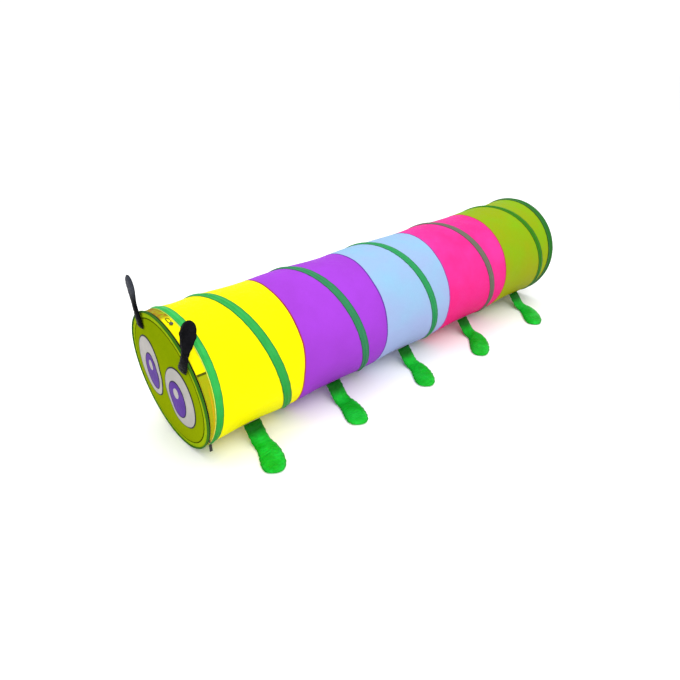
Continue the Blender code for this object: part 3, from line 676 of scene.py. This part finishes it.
def hard_material(name, colour, roughness, metallic=0.0):
    """Moulded plastic or wire with slight wear in its gloss."""
    material, tree, shader = new_material(name, roughness, 0.5, metallic, colour)
    mottle = use(tree, "mottle", {"Amount": 1.0, "Size": 0.01})
    feed(tree, shader, {"Roughness": maths(tree, "MULTIPLY_ADD", mottle["Patches"], 0.15,
                                           roughness - 0.05)})
    return material


def painted(material):
    """A material's tree, the socket that takes its colour and the colour that it takes so far."""
    tree = material.node_tree
    socket = tree.nodes["Principled BSDF"].inputs["Base Color"]
    return tree, socket, socket.links[0].from_socket


# Linear colours. Looks hold two each: the main one and the one that it changes to. On cloth the second is
# both a random tint and the colour painted near the floor as light and shade change with height; on tape
# it is the lighter colour painted near the top as painted light; on limbs and patches it is only a random
# tint.
PANEL_LOOKS = {
    "yellow": ((0.80, 0.76, 0.002), (0.82, 0.76, 0.001)),
    "purple": ((0.32, 0.048, 0.58), (0.27, 0.040, 0.47)),
    "blue": ((0.24, 0.44, 0.62), (0.31, 0.36, 0.61)),
    "pink": ((0.68, 0.037, 0.30), (0.71, 0.013, 0.16)),
    "olive": ((0.20, 0.39, 0.006), (0.29, 0.30, 0.005)),
}
TAPE_LOOKS = {
    "head": ((0.010, 0.24, 0.020), (0.035, 0.43, 0.085)),
    "yellow": ((0.012, 0.24, 0.030), (0.030, 0.34, 0.068)),
    "purple": ((0.018, 0.15, 0.060), (0.030, 0.21, 0.085)),
    "blue": ((0.010, 0.20, 0.060), (0.024, 0.27, 0.085)),
    "pink": ((0.11, 0.10, 0.080), (0.13, 0.13, 0.098)),
    "olive": ((0.020, 0.14, 0.003), (0.030, 0.18, 0.006)),
    "tail": ((0.012, 0.10, 0.010), (0.021, 0.14, 0.018)),
}
SEAM_LOOKS = (((0.24, 0.025, 0.05), (0.36, 0.05, 0.04)), ((0.10, 0.025, 0.26), (0.14, 0.05, 0.32)),
              ((0.26, 0.035, 0.24), (0.34, 0.06, 0.30)), ((0.36, 0.03, 0.05), (0.42, 0.05, 0.04)))
FACE_LOOKS = ((0.19, 0.27, 0.001), (0.24, 0.31, 0.002))
BORDER_LOOKS = ((0.24, 0.38, 0.005), (0.30, 0.40, 0.006))
RIM_LOOKS = ((0.020, 0.10, 0.006), (0.040, 0.14, 0.010))
GOLD_LOOKS = ((0.28, 0.36, 0.006), (0.36, 0.30, 0.004))
# Brown of the painted shade on the front band's far top
SHADE_PATCH_BROWN = (0.30, 0.10, 0.008)
STRIPE_COLOUR = (0.52, 0.30, 0.008)
HEM_COLOUR = (0.07, 0.08, 0.004)
LINE_LOOKS = ((0.54, 0.66, 0.06), (0.60, 0.66, 0.12))
LEG_LOOKS = ((0.002, 0.38, 0.010), (0.008, 0.52, 0.034))
# Dark green painted as shadow on the legs' upper parts, under the tube
LEG_PAINTED_SHADOW = (0.001, 0.10, 0.003)
BLACK_LOOKS = ((0.002, 0.002, 0.003), (0.006, 0.006, 0.008))
# Grey painted as a sheen on the right antenna's paddle
PAINTED_SHEEN_COLOUR = (0.045, 0.050, 0.065)
WHITE_LOOKS = ((0.42, 0.40, 0.38), (0.35, 0.34, 0.32))
VIOLET_LOOKS = ((0.10, 0.038, 0.28), (0.075, 0.028, 0.21))


# Cloth of the tube

def seam_x(index, turn):
    """Where the seam behind a panel lies: nearly straight, with small kinks as sewn cloth has."""
    draw = np.random.default_rng(40 + index)
    shifts = draw.uniform(-SEAM_KINK, SEAM_KINK, 13)
    shifts = np.append(shifts, shifts[0])
    return HEAD_X + SEAMS[index] + np.interp(turn % 1.0, np.linspace(0, 1, 14), shifts)


def cloth_radius(turn, x):
    """The cloth's distance from the middle line, with its sag, puckers and creases."""
    aside = wire_distance(turn, x)
    near = np.exp(-aside / PUCKER_REACH)
    away = 1 - np.exp(-(np.maximum(aside - CREASE_START, 0) / CREASE_REACH) ** 2)
    puckers = waves(turn, x, 11, (34, 62), (0.10, 0.30), 7)
    swells = waves(turn, x, 12, (3, 9), (0.20, 0.60), 6)
    creases = folds(turn, x, 13, (2, 8), (0.09, 0.30), 5)
    shape = PUCKER * puckers * near + (SWELL * swells - CREASE * creases) * away
    return CLOTH_RADIUS - sag(turn, x) - CLOTH_DROP + shape


def build_panel(index):
    colour = COLOURS[index]

    def front(turn):
        return head_ring_x(turn) if index == 0 else seam_x(index - 1, turn)

    def back(turn):
        return HEAD_X + TUNNEL_LENGTH - 0.0003 + 0 * turn if index == 4 else seam_x(index, turn)

    def place(u, v):
        start, end = front(u), back(u)
        x = between((start, end), v)
        dip = np.exp(-((x - start) / SEAM_DIP_REACH) ** 2) * (index > 0)
        dip += np.exp(-((end - x) / SEAM_DIP_REACH) ** 2) * (index < 4)
        return on_tube(u, cloth_radius(u, x) - SEAM_DIP * dip, x)

    piece = flat_sheet("cloth_" + colour, 360, 110, place, CLOTH, closed=True)
    length = np.ptp(points_of(piece)[:, 0])
    size = (GIRTH, length)
    material = cloth_material("nylon_" + colour, PANEL_LOOKS[colour], size, pull=(0.35, 1, 1))
    finished(piece, "segment_%d" % (index + 1), ["panel_" + colour], material)
    fold_up(piece)


def build_seam(index):
    """The narrow ridge where two panels are sewn together."""
    def place(u, v):
        x = seam_x(index, u) + (v - 0.5) * SEAM_WIDTH
        gathers = 0.00015 * waves(u, x, 60 + index, (120, 220), (1, 2), 4)
        ridge = SEAM_RISE - SEAM_DIP * (1 - np.sin(np.pi * v))
        return on_tube(u, cloth_radius(u, x) + ridge + gathers, x)

    piece = flat_sheet("seam_%d" % (index + 1), 480, 6, place, 0.0002, closed=True)
    size = (GIRTH, SEAM_WIDTH)
    material = cloth_material("seam_%d" % (index + 1), SEAM_LOOKS[index], size, amount=0.9, patch=0.05)
    finished(piece, "segment_%d" % (index + 1), [], material)
    fold_up(piece)


# Binding tape and its wire

def tape_height(aside):
    """Height of the tape over the cloth at a distance from the wire: flat feet and a dome."""
    dome = np.clip(1 - np.abs(aside) / TAPE_DOME, 0, 1)
    dome = dome * dome * (3 - 2 * dome)
    return TAPE_FOOT + (TAPE_RADIUS - CLOTH_RADIUS - TAPE_FOOT) * dome ** 0.8


def build_tape(name, turns, edges, body, index=None):
    """One dyed stretch of tape; edges are its distances from the wire."""
    width = edges[1] - edges[0]

    def place(u, v):
        turn = between(turns, u)
        edge = np.abs(v - 0.5) * 2
        aside = edges[0] + width * v
        wave = 0.0003 * waves(turn, 0 * turn, 70 + len(name), (18, 44), (1, 2), 6)
        x = coil_x(turn) + aside + wave * edge
        ripple = 0.00015 * waves(turn, x, 80 + len(name), (30, 90), (0.03, 0.09), 6)
        height = tape_height(aside) + ripple * edge - THIN * (edge > 0.97)
        return on_tube(turn, np.minimum(CLOTH_RADIUS + height, TAPE_RADIUS), x)

    piece = flat_sheet("binding_" + name, int(240 * (turns[1] - turns[0])), 24, place, THIN)
    size = (GIRTH * (turns[1] - turns[0]), width)
    material = tape_material("tape_" + name, TAPE_LOOKS[name], size)
    finished(piece, body, ["tape_" + name], material)
    if index is not None:
        fold_up(piece)


def build_wire():
    ends = (HEAD_TAPE_TURNS[0] + WIRE_END_TURN, TAIL_TAPE_TURNS[1] - WIRE_END_TURN)

    def turn(share):
        return between(ends, share)

    def path(share):
        return on_tube(turn(share), WIRE_LINE_RADIUS, coil_x(turn(share)))

    piece = cord_skin("coil_wire", path, lambda share: radial(turn(share)), WIRE / 2,
                      steps=1400, sides=9)
    finished(piece, "head", ["spring_wire"],
             hard_material("spring_steel", (0.45, 0.46, 0.48), 0.32, 1.0))
    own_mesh(piece)


def build_tube():
    build_wire()
    for index in range(5):
        build_panel(index)
    for index in range(4):
        build_seam(index)
    build_tape("head", HEAD_TAPE_TURNS, HEAD_TAPE_EDGES, "head")
    for index, colour in enumerate(COLOURS):
        end = TAIL_RING_TURN if index == 4 else index + 1
        build_tape(colour, (index, end), COIL_TAPE_EDGES, "segment_%d" % (index + 1), index)
    build_tape("tail", TAIL_TAPE_TURNS, TAIL_TAPE_EDGES, "tail")


# Trim in front of the head ring

def front_material(size):
    """Yellow cloth with painted shade in gold and brown over the far half of the top, by the zip's end."""
    material = cloth_material("nylon_front", PANEL_LOOKS["yellow"], size, crease_size=0.02)
    tree, socket, cloth = painted(material)
    turn = parts_of(tree)[0]
    # Painted shade: gold and brown over the band's far top, by the zip's end
    patch = maths(tree, "MULTIPLY", ramp(tree, turn, 0.36, 0.40), ramp(tree, turn, 0.530, 0.515))
    gold = mottled(tree, GOLD_LOOKS[0], SHADE_PATCH_BROWN, 1.0, 0.018)
    tree.links.new(mix(tree, patch, cloth, gold), socket)
    return material


def build_edge_line():
    """The pale piped edge of the head tape, on its side towards the flap."""
    def place(u, v):
        turn = between(EDGE_LINE_TURNS, u)
        x = head_ring_x(turn) - TAPE_FRONT - LINE_WIDTH * (0.9 - v)
        return on_tube(turn, CLOTH_RADIUS + 0.0007 + 0.0005 * np.sin(np.pi * v), x)

    piece = flat_sheet("edge_line", 260, 6, place, 0.0002)
    finished(piece, "head", [],
             cloth_material("pale_line", LINE_LOOKS, (0.8, LINE_WIDTH), amount=1.0, patch=0.03))


def build_front_band():
    def place(u, v):
        x = between((face_x(u) + FLAP_DEPTH, head_ring_x(u)), v)
        pucker = 0.0003 * waves(u, x, 120, (30, 60), (0.02, 0.06), 6)
        return on_tube(u, CLOTH_RADIUS - 0.0006 + pucker, x)

    piece = flat_sheet("front_band_cloth", 320, 14, place, CLOTH, closed=True)
    size = (GIRTH, FRONT_BAND_WIDTH)
    finished(piece, "head", ["front_band"], front_material(size))


def facing_material(size):
    """Olive gold cloth with a dark hem at its top and an orange stripe beside the tape."""
    material = cloth_material("gold_facing", GOLD_LOOKS, size, amount=0.5, patch=0.02)
    tree, socket, cloth = painted(material)
    parts = parts_of(tree)
    stripe = maths(tree, "MULTIPLY", maths(tree, "COMPARE", parts[1], 0.62, 0.08),
                   ramp(tree, parts[0], 0.10, 0.25))
    striped = mix(tree, stripe, cloth, STRIPE_COLOUR)
    hem = maths(tree, "LESS_THAN", parts[0], 0.02)
    tree.links.new(mix(tree, hem, striped, HEM_COLOUR), socket)
    return material


def build_facing():
    def place(u, v):
        turn = between(FACING_TURNS, u)
        x = between((face_x(turn) + FLAP_DEPTH + 0.0006, head_ring_x(turn) - TAPE_FRONT + 0.001), v)
        pucker = 0.00025 * waves(turn, x, 125, (40, 90), (0.02, 0.06), 6)
        return on_tube(turn, CLOTH_RADIUS + 0.0005 + pucker, x)

    piece = flat_sheet("facing_cloth", 90, 8, place, THIN)
    size = (GIRTH * (FACING_TURNS[1] - FACING_TURNS[0]), FACING_WIDTH)
    finished(piece, "head", ["front_facing"], facing_material(size))


def build_flap_seam():
    """The strip that joins the flap to the tube where the zip doesn't reach."""
    ends = (ZIP_TURNS[1], ZIP_TURNS[0] + 1)

    def place(u, v):
        turn = between(ends, u)
        x = face_x(turn) + STRIP_START + STRIP_WIDTH * v
        fold = -STRIP_FOLD * np.sin(np.pi * v)
        return on_tube(turn, CLOTH_RADIUS - 0.0004 + fold, x)

    piece = flat_sheet("flap_strip", 120, 8, place, THIN)
    size = (GIRTH * (ends[1] - ends[0]), STRIP_WIDTH)
    material = cloth_material("flap_strip", PANEL_LOOKS["yellow"], size, crease_size=0.02)
    piece.data.materials.append(material)
    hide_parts("flap_seam")
    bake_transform(piece)


def zip_coil(name, side, body, node):
    """One half of the zip: its woven edge and the nylon coil of its teeth."""
    depth = ZIP_DEPTHS[0] if side < 0 else ZIP_DEPTHS[1]
    length = ZIP_TURNS[1] - ZIP_TURNS[0]
    count = int(GIRTH * length / ZIP_PITCH)

    def turn(share):
        return between(ZIP_TURNS, share)

    def path(share):
        angle = 2 * np.pi * count * share
        radius = ZIP_COIL_RADIUS + ZIP_COIL_HALF[0] * np.cos(angle)
        return on_flap(turn(share), radius, depth + ZIP_COIL_HALF[1] * np.sin(angle))

    def along(share):
        angle = 2 * np.pi * turn(share)
        return np.stack([0 * angle, np.cos(angle), np.sin(angle)], 1)

    coil = cord_skin(name, path, along, ZIP_THREAD, steps=count * 8, sides=5)
    finished(coil, body, [node], hard_material(name, (0.012, 0.012, 0.014), 0.35))

    def ribbon(u, v):
        height = depth + side * ZIP_COIL_HALF[0] + 0 * u
        return on_flap(turn(u), ZIP_TAPE_RADIUS - ZIP_TAPE_WIDTH * v, height)

    tape = flat_sheet(name + "_tape", 160, 5, ribbon, 0.0002)
    finished(tape, body, [], cloth_material(name + "_tape", BLACK_LOOKS, (0.84, ZIP_TAPE_WIDTH)))


def build_toggle():
    """Button and cord loop that hold the flap when it is rolled aside."""
    black = hard_material("moulded_black", (0.010, 0.010, 0.012), 0.28)
    x = float(face_x(TOGGLE_TURN) + FLAP_DEPTH + head_ring_x(TOGGLE_TURN) - TAPE_FRONT) / 2
    seat = on_tube(np.array([TOGGLE_TURN]), CLOTH_RADIUS, x)[0]
    outward = Vector(radial(np.array([TOGGLE_TURN]))[0])
    button = add_shape("toggle", bpy.ops.mesh.primitive_cylinder_add, vertices=40,
                       radius=TOGGLE_BUTTON_RADIUS, depth=TOGGLE_THICKNESS)
    apply_modifier(button, "BEVEL", width=TOGGLE_ROUNDING, segments=4)
    button.matrix_world = (Matrix.Translation(Vector(seat) + outward * TOGGLE_HEIGHT)
                           @ outward.to_track_quat("Z", "X").to_matrix().to_4x4())
    activate(button)
    bpy.ops.object.transform_apply()
    shade(button, 40)
    finished(button, "head", ["toggle_button"], black)

    def path(share):
        angle = 2 * np.pi * (share * 0.94 + 0.03)
        turn = LOOP_TURN + LOOP_HALF[0] * np.sin(angle) / GIRTH
        half = LOOP_HALF[1] + 0.0007 * np.sin(3 * angle + 1)
        return on_tube(turn, CLOTH_RADIUS + 0.0011, x + 0.0010 + half * np.cos(angle))

    places = path(np.linspace(0, 1, 60))
    loop = cord_skin("cord_loop", path, lambda share: radial(LOOP_TURN + 0 * share), LOOP_CORD / 2,
                     steps=90, sides=10)
    finished(loop, "head", ["toggle_loop"],
             cloth_material("black_cord", BLACK_LOOKS, (0.006, 0.056), thread=0.0007))


# Face flap

def build_piping():
    def size(share):
        return PIPING / 2 + 0.00012 * waves(share, 0 * share, 130, (70, 140), (1, 2), 6)

    def place(u, v):
        angle = 2 * np.pi * u
        height = size(v) * np.sin(angle)
        return on_flap(v, PIPING_RADIUS + (size(v) - 0.0011) * np.cos(angle), height)

    piece = flat_sheet("piping_cord", 16, 420, place, closed=True)
    edit_mesh(piece, (bpy.ops.mesh.normals_make_consistent, {"inside": False}))
    finished(piece, "flap", ["flap_piping"],
             cloth_material("rim_piping", RIM_LOOKS, (0.025, 1.42), amount=0.6, crease=0.1))


def build_face():
    def place(u, v):
        radius = FACE_EDGE * v
        gathers = FACE_GATHER * waves(u, v, 141, (36, 70), (3, 9), 8) * v ** 8
        groove = BORDER_GROOVE * np.exp(-((v - BORDER_SHARE) / 0.008) ** 2)
        return on_flap(u, radius, face_height(u, radius) + gathers - groove)

    piece = flat_sheet("face_cloth", 320, 120, place, FACE_CLOTH, closed=True)
    finished(piece, "flap", ["face_panel"], face_material())


def face_material():
    """Olive cloth with a lighter border ring outside a dark seam."""
    material = cloth_material("face_cloth", FACE_LOOKS, None, specular=0.0, patch=0.08, crease=0.3)
    tree, socket, cloth = painted(material)
    outwards = parts_of(tree)[1]
    outside = ramp(tree, outwards, BORDER_SHARE - 0.004, BORDER_SHARE + 0.004)
    seam = maths(tree, "COMPARE", outwards, BORDER_SHARE, 0.009)
    ringed = mix(tree, outside, cloth, mottled(tree, *BORDER_LOOKS, 1.0, 0.03))
    sewn = mix(tree, maths(tree, "MULTIPLY", seam, 0.9), ringed, darker(FACE_LOOKS[0], 0.15))
    tree.links.new(sewn, socket)
    return material


def build_patch(name, middle, half, lift, outline, node, material):
    """An oval satin patch on the flap, with a raised stitched outline."""
    def place(u, v):
        angle = 2 * np.pi * u
        share = np.maximum(v, 0.0001)
        side = middle[0] + half[0] * share * np.cos(angle)
        rise = middle[1] + half[1] * share * np.sin(angle)
        roll = 2 * np.pi * FACE_ROLL
        y = side * np.cos(roll) - rise * np.sin(roll)
        z = side * np.sin(roll) + rise * np.cos(roll)
        radius = np.hypot(y, z)
        turn = np.arctan2(y, -z) / (2 * np.pi)
        ridge = outline * np.exp(-((v - 0.975) / 0.018) ** 2)
        ripple = 0.0002 * waves(u, v, 150 + len(name), (6, 20), (0.5, 2), 5) * np.sin(np.pi * v)
        drop = np.where(v > 0.995, 0.0006, 0.0)
        return on_flap(turn, radius, face_height(turn, radius) + lift + ridge + ripple - drop)

    piece = flat_sheet(name, 160, 40, place, THIN, closed=True)
    finished(piece, "flap", [node], material)


def build_eyes():
    white = patch_material("eye_white", WHITE_LOOKS, (0.03, 0.028, 0.04), 0.955)
    violet = patch_material("eye_violet", VIOLET_LOOKS, (0.03, 0.02, 0.06), 0.94)
    light = patch_material("eye_light", WHITE_LOOKS, (0.45, 0.43, 0.44), 0.90)
    for name, sign in SIDES:
        eye = sign * EYE_SPREAD
        iris = eye - sign * IRIS_INSET
        build_patch("white_" + name, (eye, EYE_HEIGHT), EYE_HALF, WHITE_LIFT, 0.0007,
                    "eye_white_" + name, white)
        build_patch("violet_" + name, (iris, EYE_HEIGHT - IRIS_DROP), IRIS_HALF, IRIS_LIFT, 0.0005,
                    "iris_" + name, violet)
        build_patch("light_" + name, (iris, EYE_HEIGHT - IRIS_DROP + HIGHLIGHT_RISE),
                    HIGHLIGHT_HALF, HIGHLIGHT_LIFT, 0.0002, "highlight_" + name, light)


def slider_place():
    """X runs along the zip, Y along the tunnel and Z outwards at the slider's rest place."""
    angle = 2 * math.pi * FACE_LEAN_TURN
    slope = FACE_LEAN / RADIUS
    along = Vector((1, slope * math.sin(angle), -slope * math.cos(angle))).normalized()
    turn = np.array([SLIDER_TURN, SLIDER_TURN])
    rim, middle = on_flap(turn, np.array([SLIDER_RADIUS, 0.0]), SLIDER_DEPTH)
    spoke = Vector(rim - middle)
    outward = (spoke - along * spoke.dot(along)).normalized()
    turned = Matrix((outward.cross(along), -along, outward)).transposed().to_4x4()
    return Matrix.Translation(Vector(rim)) @ turned


def block(name, size, height, edge):
    piece = add_shape(name, bpy.ops.mesh.primitive_cube_add, size=1, location=(0, 0, height))
    piece.scale = size
    bpy.ops.object.transform_apply()
    apply_modifier(piece, "BEVEL", width=edge, segments=3)
    return piece


def ring(name, radius, thickness, height, segments, stretch):
    """A ring that stands across the zip."""
    piece = add_shape(name, bpy.ops.mesh.primitive_torus_add, major_segments=segments,
                      minor_segments=10, major_radius=radius, minor_radius=thickness,
                      location=(0, 0, height), rotation=(math.radians(90), 0, 0))
    piece.scale = (stretch, 1, 1)
    bpy.ops.object.transform_apply()
    return piece


def join(pieces, place):
    activate(pieces[0])
    for piece in pieces[1:]:
        piece.select_set(True)
    bpy.ops.object.join()
    piece = bpy.context.object
    piece.matrix_world = place
    bpy.ops.object.transform_apply()
    shade(piece, 35)
    return piece


def build_slider():
    """The slider and its pull, each made of blocks and a ring."""
    black = hard_material("painted_metal", (0.014, 0.014, 0.016), 0.30, 0.4)
    place = slider_place()
    pivot = Matrix.Translation(place @ Vector((0, 0, PULL_PIVOT)))
    for body, blocks, loop, stand in (("zip_slider", SLIDER_BLOCKS, SLIDER_RING, place),
                                      ("zip_pull", PULL_BLOCKS, PULL_RING, pivot)):
        pieces = [block(*row) for row in blocks] + [ring(*loop)]
        finished(join(pieces, stand), body, [body], black)


# Padded limbs

def swell(share, start, neck, full, neck_share, peak, blunt=2.0):
    """Width along a limb: from its seam to its neck, out to its paddle and round at the tip."""
    widening = np.clip((share - neck_share) / (peak - neck_share), 0, 1)
    width = start + (neck - start) * np.clip(share / neck_share, 0, 1)
    eased = 0.5 - 0.5 * np.cos(np.pi * widening)
    width = width + (full - neck) * (0.5 * eased + 0.5 * widening)
    tip = np.clip((share - peak) / (1 - peak), 0, 1)
    return np.where(share > peak, full * np.maximum(1 - tip ** blunt, 0) ** (1 / blunt), width)


def build_limb(name, line, across, width, thickness, seed, steps):
    """Two skins sewn along a flat hem and stuffed. line(share) is its underside."""
    def place(u, v):
        point = line(v)
        tangent = unit(line(np.clip(v + 0.002, 0, 1)) - line(np.clip(v - 0.002, 0, 1)))
        side = across(v)
        side = unit(side - tangent * np.sum(tangent * side, 1)[:, None])
        up = np.cross(tangent, side)
        half = width(v) / 2
        x = np.cos(2 * np.pi * u)
        upper = np.sin(2 * np.pi * u) > -0.000001
        inner = np.clip(np.abs(x) * half / np.maximum(half - HEM, 0.0001), 0, 1)
        length = v * np.linalg.norm(line(np.array([1.0])) - line(np.array([0.0])))
        dome = np.sqrt(np.maximum(1 - inner ** 2.6, 0))
        ends = np.clip(np.minimum(v, 1 - v) / END_SHARE, 0, 1)
        fill = dome * np.sqrt(np.sin(np.pi * ends / 2))
        pucker = 1 + LIMB_PUCKER * waves(0 * u, length, seed, (0, 0), (0.006, 0.012), 5) * (1 - dome)
        crinkle = folds(u, length, seed + 1, (0, 2), (0.020, 0.050), 6) * dome
        seam = SEAM_SHARE * thickness
        hem = HEM_THICKNESS / 2
        top = seam + hem + (thickness - seam) * fill * pucker - LIMB_CREASE * crinkle * fill
        bottom = seam - hem - (seam - hem) * np.minimum(1.5 * fill, 1)
        height = np.where(upper, top, bottom)
        wave = HEM_WAVE * waves(0 * u, length, seed + 2, (0, 0), (0.012, 0.03), 4) * np.abs(x) ** 4
        return point + side * ((half + wave) * x)[:, None] + up * height[:, None]

    return closed_skin(name, 56, steps, place)


def limb_material(name, looks, size, specular, shade=None):
    """Satin cloth over stuffing, with a darker sewn hem. shade is painted light: a colour and the two
    heights between which the cloth turns to it.
    """
    material, tree, shader = new_material(name, 0.4, specular)
    turned = maths(tree, "COSINE", maths(tree, "MULTIPLY", parts_of(tree)[0], 2 * math.pi))
    around = maths(tree, "ABSOLUTE", turned)
    hem = maths(tree, "MULTIPLY", ramp(tree, around, 0.86, 0.97), 0.55)
    dyed_and_shaded = mottled(tree, *looks, 1.0, size)
    # Painted light and shade: the colour turns to shade's colour between its two heights
    if shade:
        dyed_and_shaded = shaded_by_height(tree, dyed_and_shaded, *shade)
    crinkle = use(tree, "crinkle", {"Pull": (0.5, 1.4, 1), "Size": size * 0.5})
    dark = darker(looks[0], 0.35)
    # Painted shade: the crinkle lines are darkened
    painted_crease_shade = maths(tree, "MULTIPLY", ramp(tree, crinkle["Height"], 0.75, 1.0), 0.25)
    creases = bump(tree, crinkle["Height"], 0.8, 0.004)
    weave = use(tree, "weave", {"Map": map_in_metres(tree, (0.2, 0.2)), "Thread": 0.0006})
    feed(tree, shader, {"Base Color": mix(tree, hem, mix(tree, painted_crease_shade, dyed_and_shaded, dark), dark),
                        "Normal": bump(tree, weave["Height"], 0.25, 0.0003, creases)})
    return material


def leg_line(side, x, offset, share):
    """Underside of a leg: out of the side seam, down to the floor, and along it towards the head."""
    slope = math.atan2(math.cos(2 * math.pi * LEG_TURN), math.sin(2 * math.pi * LEG_TURN))
    radius = CLOTH_RADIUS - PANEL_SAG / 2 - LEG_SEAT_DEPTH
    root_y = radius * math.cos(slope)
    root_z = AXIS_HEIGHT - radius * math.sin(slope)
    tangent = LEG_BEND * math.tan(slope / 2)
    corner = root_y + root_z / math.tan(slope)
    straight = root_z / math.sin(slope) - tangent
    arc = LEG_BEND * slope
    flat = LEG_REACH - corner - tangent
    length = share * (straight + arc + flat)
    angle = slope - np.clip((length - straight) / LEG_BEND, 0, slope)
    beyond = np.maximum(length - straight - arc, 0)
    y = np.where(length <= straight, root_y + length * math.cos(slope),
                 corner + tangent - LEG_BEND * np.sin(angle) + beyond)
    z = np.where(length <= straight, root_z - length * math.sin(slope), LEG_BEND * (1 - np.cos(angle)))
    return np.stack([x - offset * (beyond / flat) ** LEG_SWEEP, side * y, z], 1)


def build_legs():
    # The legs' upper parts, under the tube, turn dark as painted shadow
    satin = limb_material("green_satin", LEG_LOOKS, 0.05, 0.10, (LEG_PAINTED_SHADOW, 0.018, 0.050))
    for index, (x, offset) in enumerate(zip(LEG_X, LEG_TIP_OFFSETS)):
        for name, side in SIDES:
            piece = build_limb(
                "padded_leg_%s_%d" % (name, index + 1),
                lambda share: leg_line(side, x, offset, share),
                lambda share: np.tile((-side, 0.0, 0.0), (len(share), 1)),
                lambda share: swell(share, LEG_NECK, LEG_NECK, LEG_PADDLE, LEG_NECK_SHARE,
                                    LEG_PEAK_SHARE, LEG_BLUNT),
                LEG_THICKNESS, 200 + 20 * index + side, 110)
            points = points_of(piece)
            points[:, 2] = np.maximum(points[:, 2], 0.0)
            move_points(piece, points)
            body = "leg_%s_%d" % (name, index + 1)
            finished(piece, body, [body], satin)
            fold_up(piece)


def antenna_curve(side, pose):
    """Points from the seam to the tip: splay leans it to its own side, pitch back over the tube."""
    share = (np.arange(ANTENNA_STEPS) + 0.5) / ANTENNA_STEPS
    ease = (1 - share) ** 1.5
    splay, pitch = [np.radians(between((tip, root), ease)) for root, tip in (pose["splay"], pose["pitch"])]
    way = np.stack([np.sin(pitch) * np.cos(splay), side * np.sin(splay),
                    np.cos(pitch) * np.cos(splay)], 1)
    return np.vstack([[(0, 0, 0)], np.cumsum(way * ANTENNA_LENGTH / ANTENNA_STEPS, 0)])


def build_antennae():
    # Both antennae are one black satin; the right one's paddle, high up, is painted grey as a sheen
    satins = {"left": limb_material("black_satin", BLACK_LOOKS, 0.03, 0.03),
              "right": limb_material("black_satin_painted_sheen", BLACK_LOOKS, 0.03, 0.03, (PAINTED_SHEEN_COLOUR, 0.47, 0.53))}
    for name, side in SIDES:
        pose = ANTENNA_POSES[name]
        radius = PIPING_RADIUS - PIPING / 2 - pose["inset"]
        seat = on_flap(np.array([pose["turn"]]), np.array([radius]), ANTENNA_SEAT_HEIGHT)[0]
        curve = seat + antenna_curve(side, pose)
        stations = np.linspace(0, 1, len(curve))

        def line(share):
            return np.stack([np.interp(share, stations, curve[:, axis]) for axis in range(3)], 1)

        def across(share):
            angle = math.radians(pose["twist"]) * np.clip(share / 0.6, 0, 1)
            return np.stack([-np.sin(angle), np.cos(angle), 0 * angle], 1)

        piece = build_limb("padded_antenna_" + name, line, across,
                           lambda share: swell(share, ANTENNA_STEM * ANTENNA_ROOT_SHARE, ANTENNA_STEM,
                                               ANTENNA_PADDLE, ANTENNA_NECK_SHARE,
                                               ANTENNA_PEAK_SHARE),
                           ANTENNA_THICKNESS, 310 + side, 120)
        finished(piece, "antenna_" + name, ["antenna_" + name], satins[name])


# Stage

def build_floor():
    floor = add_shape("floor", bpy.ops.mesh.primitive_plane_add, size=FLOOR_SIZE,
                      location=(0, 0, -FLOOR_DROP))
    material = new_material("pale_floor", 0.9, colour=(0.965, 0.965, 0.965))[0]
    floor.data.materials.append(material)


def build_lights():
    world = bpy.data.worlds.new("studio")
    world.use_nodes = True
    world.node_tree.nodes["Background"].inputs["Color"].default_value = (1, 1, 1, 1)
    world.node_tree.nodes["Background"].inputs["Strength"].default_value = SKY_STRENGTH
    bpy.context.scene.world = world
    for name, place, size, power in LAMPS:
        light = bpy.data.lights.new(name, "AREA")
        light.size = size
        light.energy = power
        lamp = bpy.data.objects.new(name, light)
        lamp.location = place
        aim = Vector(LAMP_AIM) - Vector(place)
        lamp.rotation_euler = aim.to_track_quat("-Z", "Y").to_euler()
        bpy.context.scene.collection.objects.link(lamp)


def build_camera():
    camera = bpy.data.cameras.new("camera")
    camera.sensor_width = SENSOR_WIDTH
    camera.lens = LENS
    eye = bpy.data.objects.new("camera", camera)
    eye.matrix_world = Matrix.Translation(CAMERA_PLACE)
    for axis, degrees in CAMERA_TURNS:
        eye.matrix_world = eye.matrix_world @ Matrix.Rotation(math.radians(degrees), 4, axis)
    bpy.context.scene.collection.objects.link(eye)
    bpy.context.scene.camera = eye
    bpy.context.scene.view_settings.view_transform = "Standard"


build_floor()
build_lights()
build_camera()
build_tube()
build_front_band()
build_edge_line()
build_facing()
build_flap_seam()
zip_coil("zip_teeth_flap", -1, "flap", "zip_half_flap")
zip_coil("zip_teeth_tube", 1, "head", "zip_half_tube")
build_toggle()
build_piping()
build_face()
build_eyes()
build_slider()
build_legs()
build_antennae()
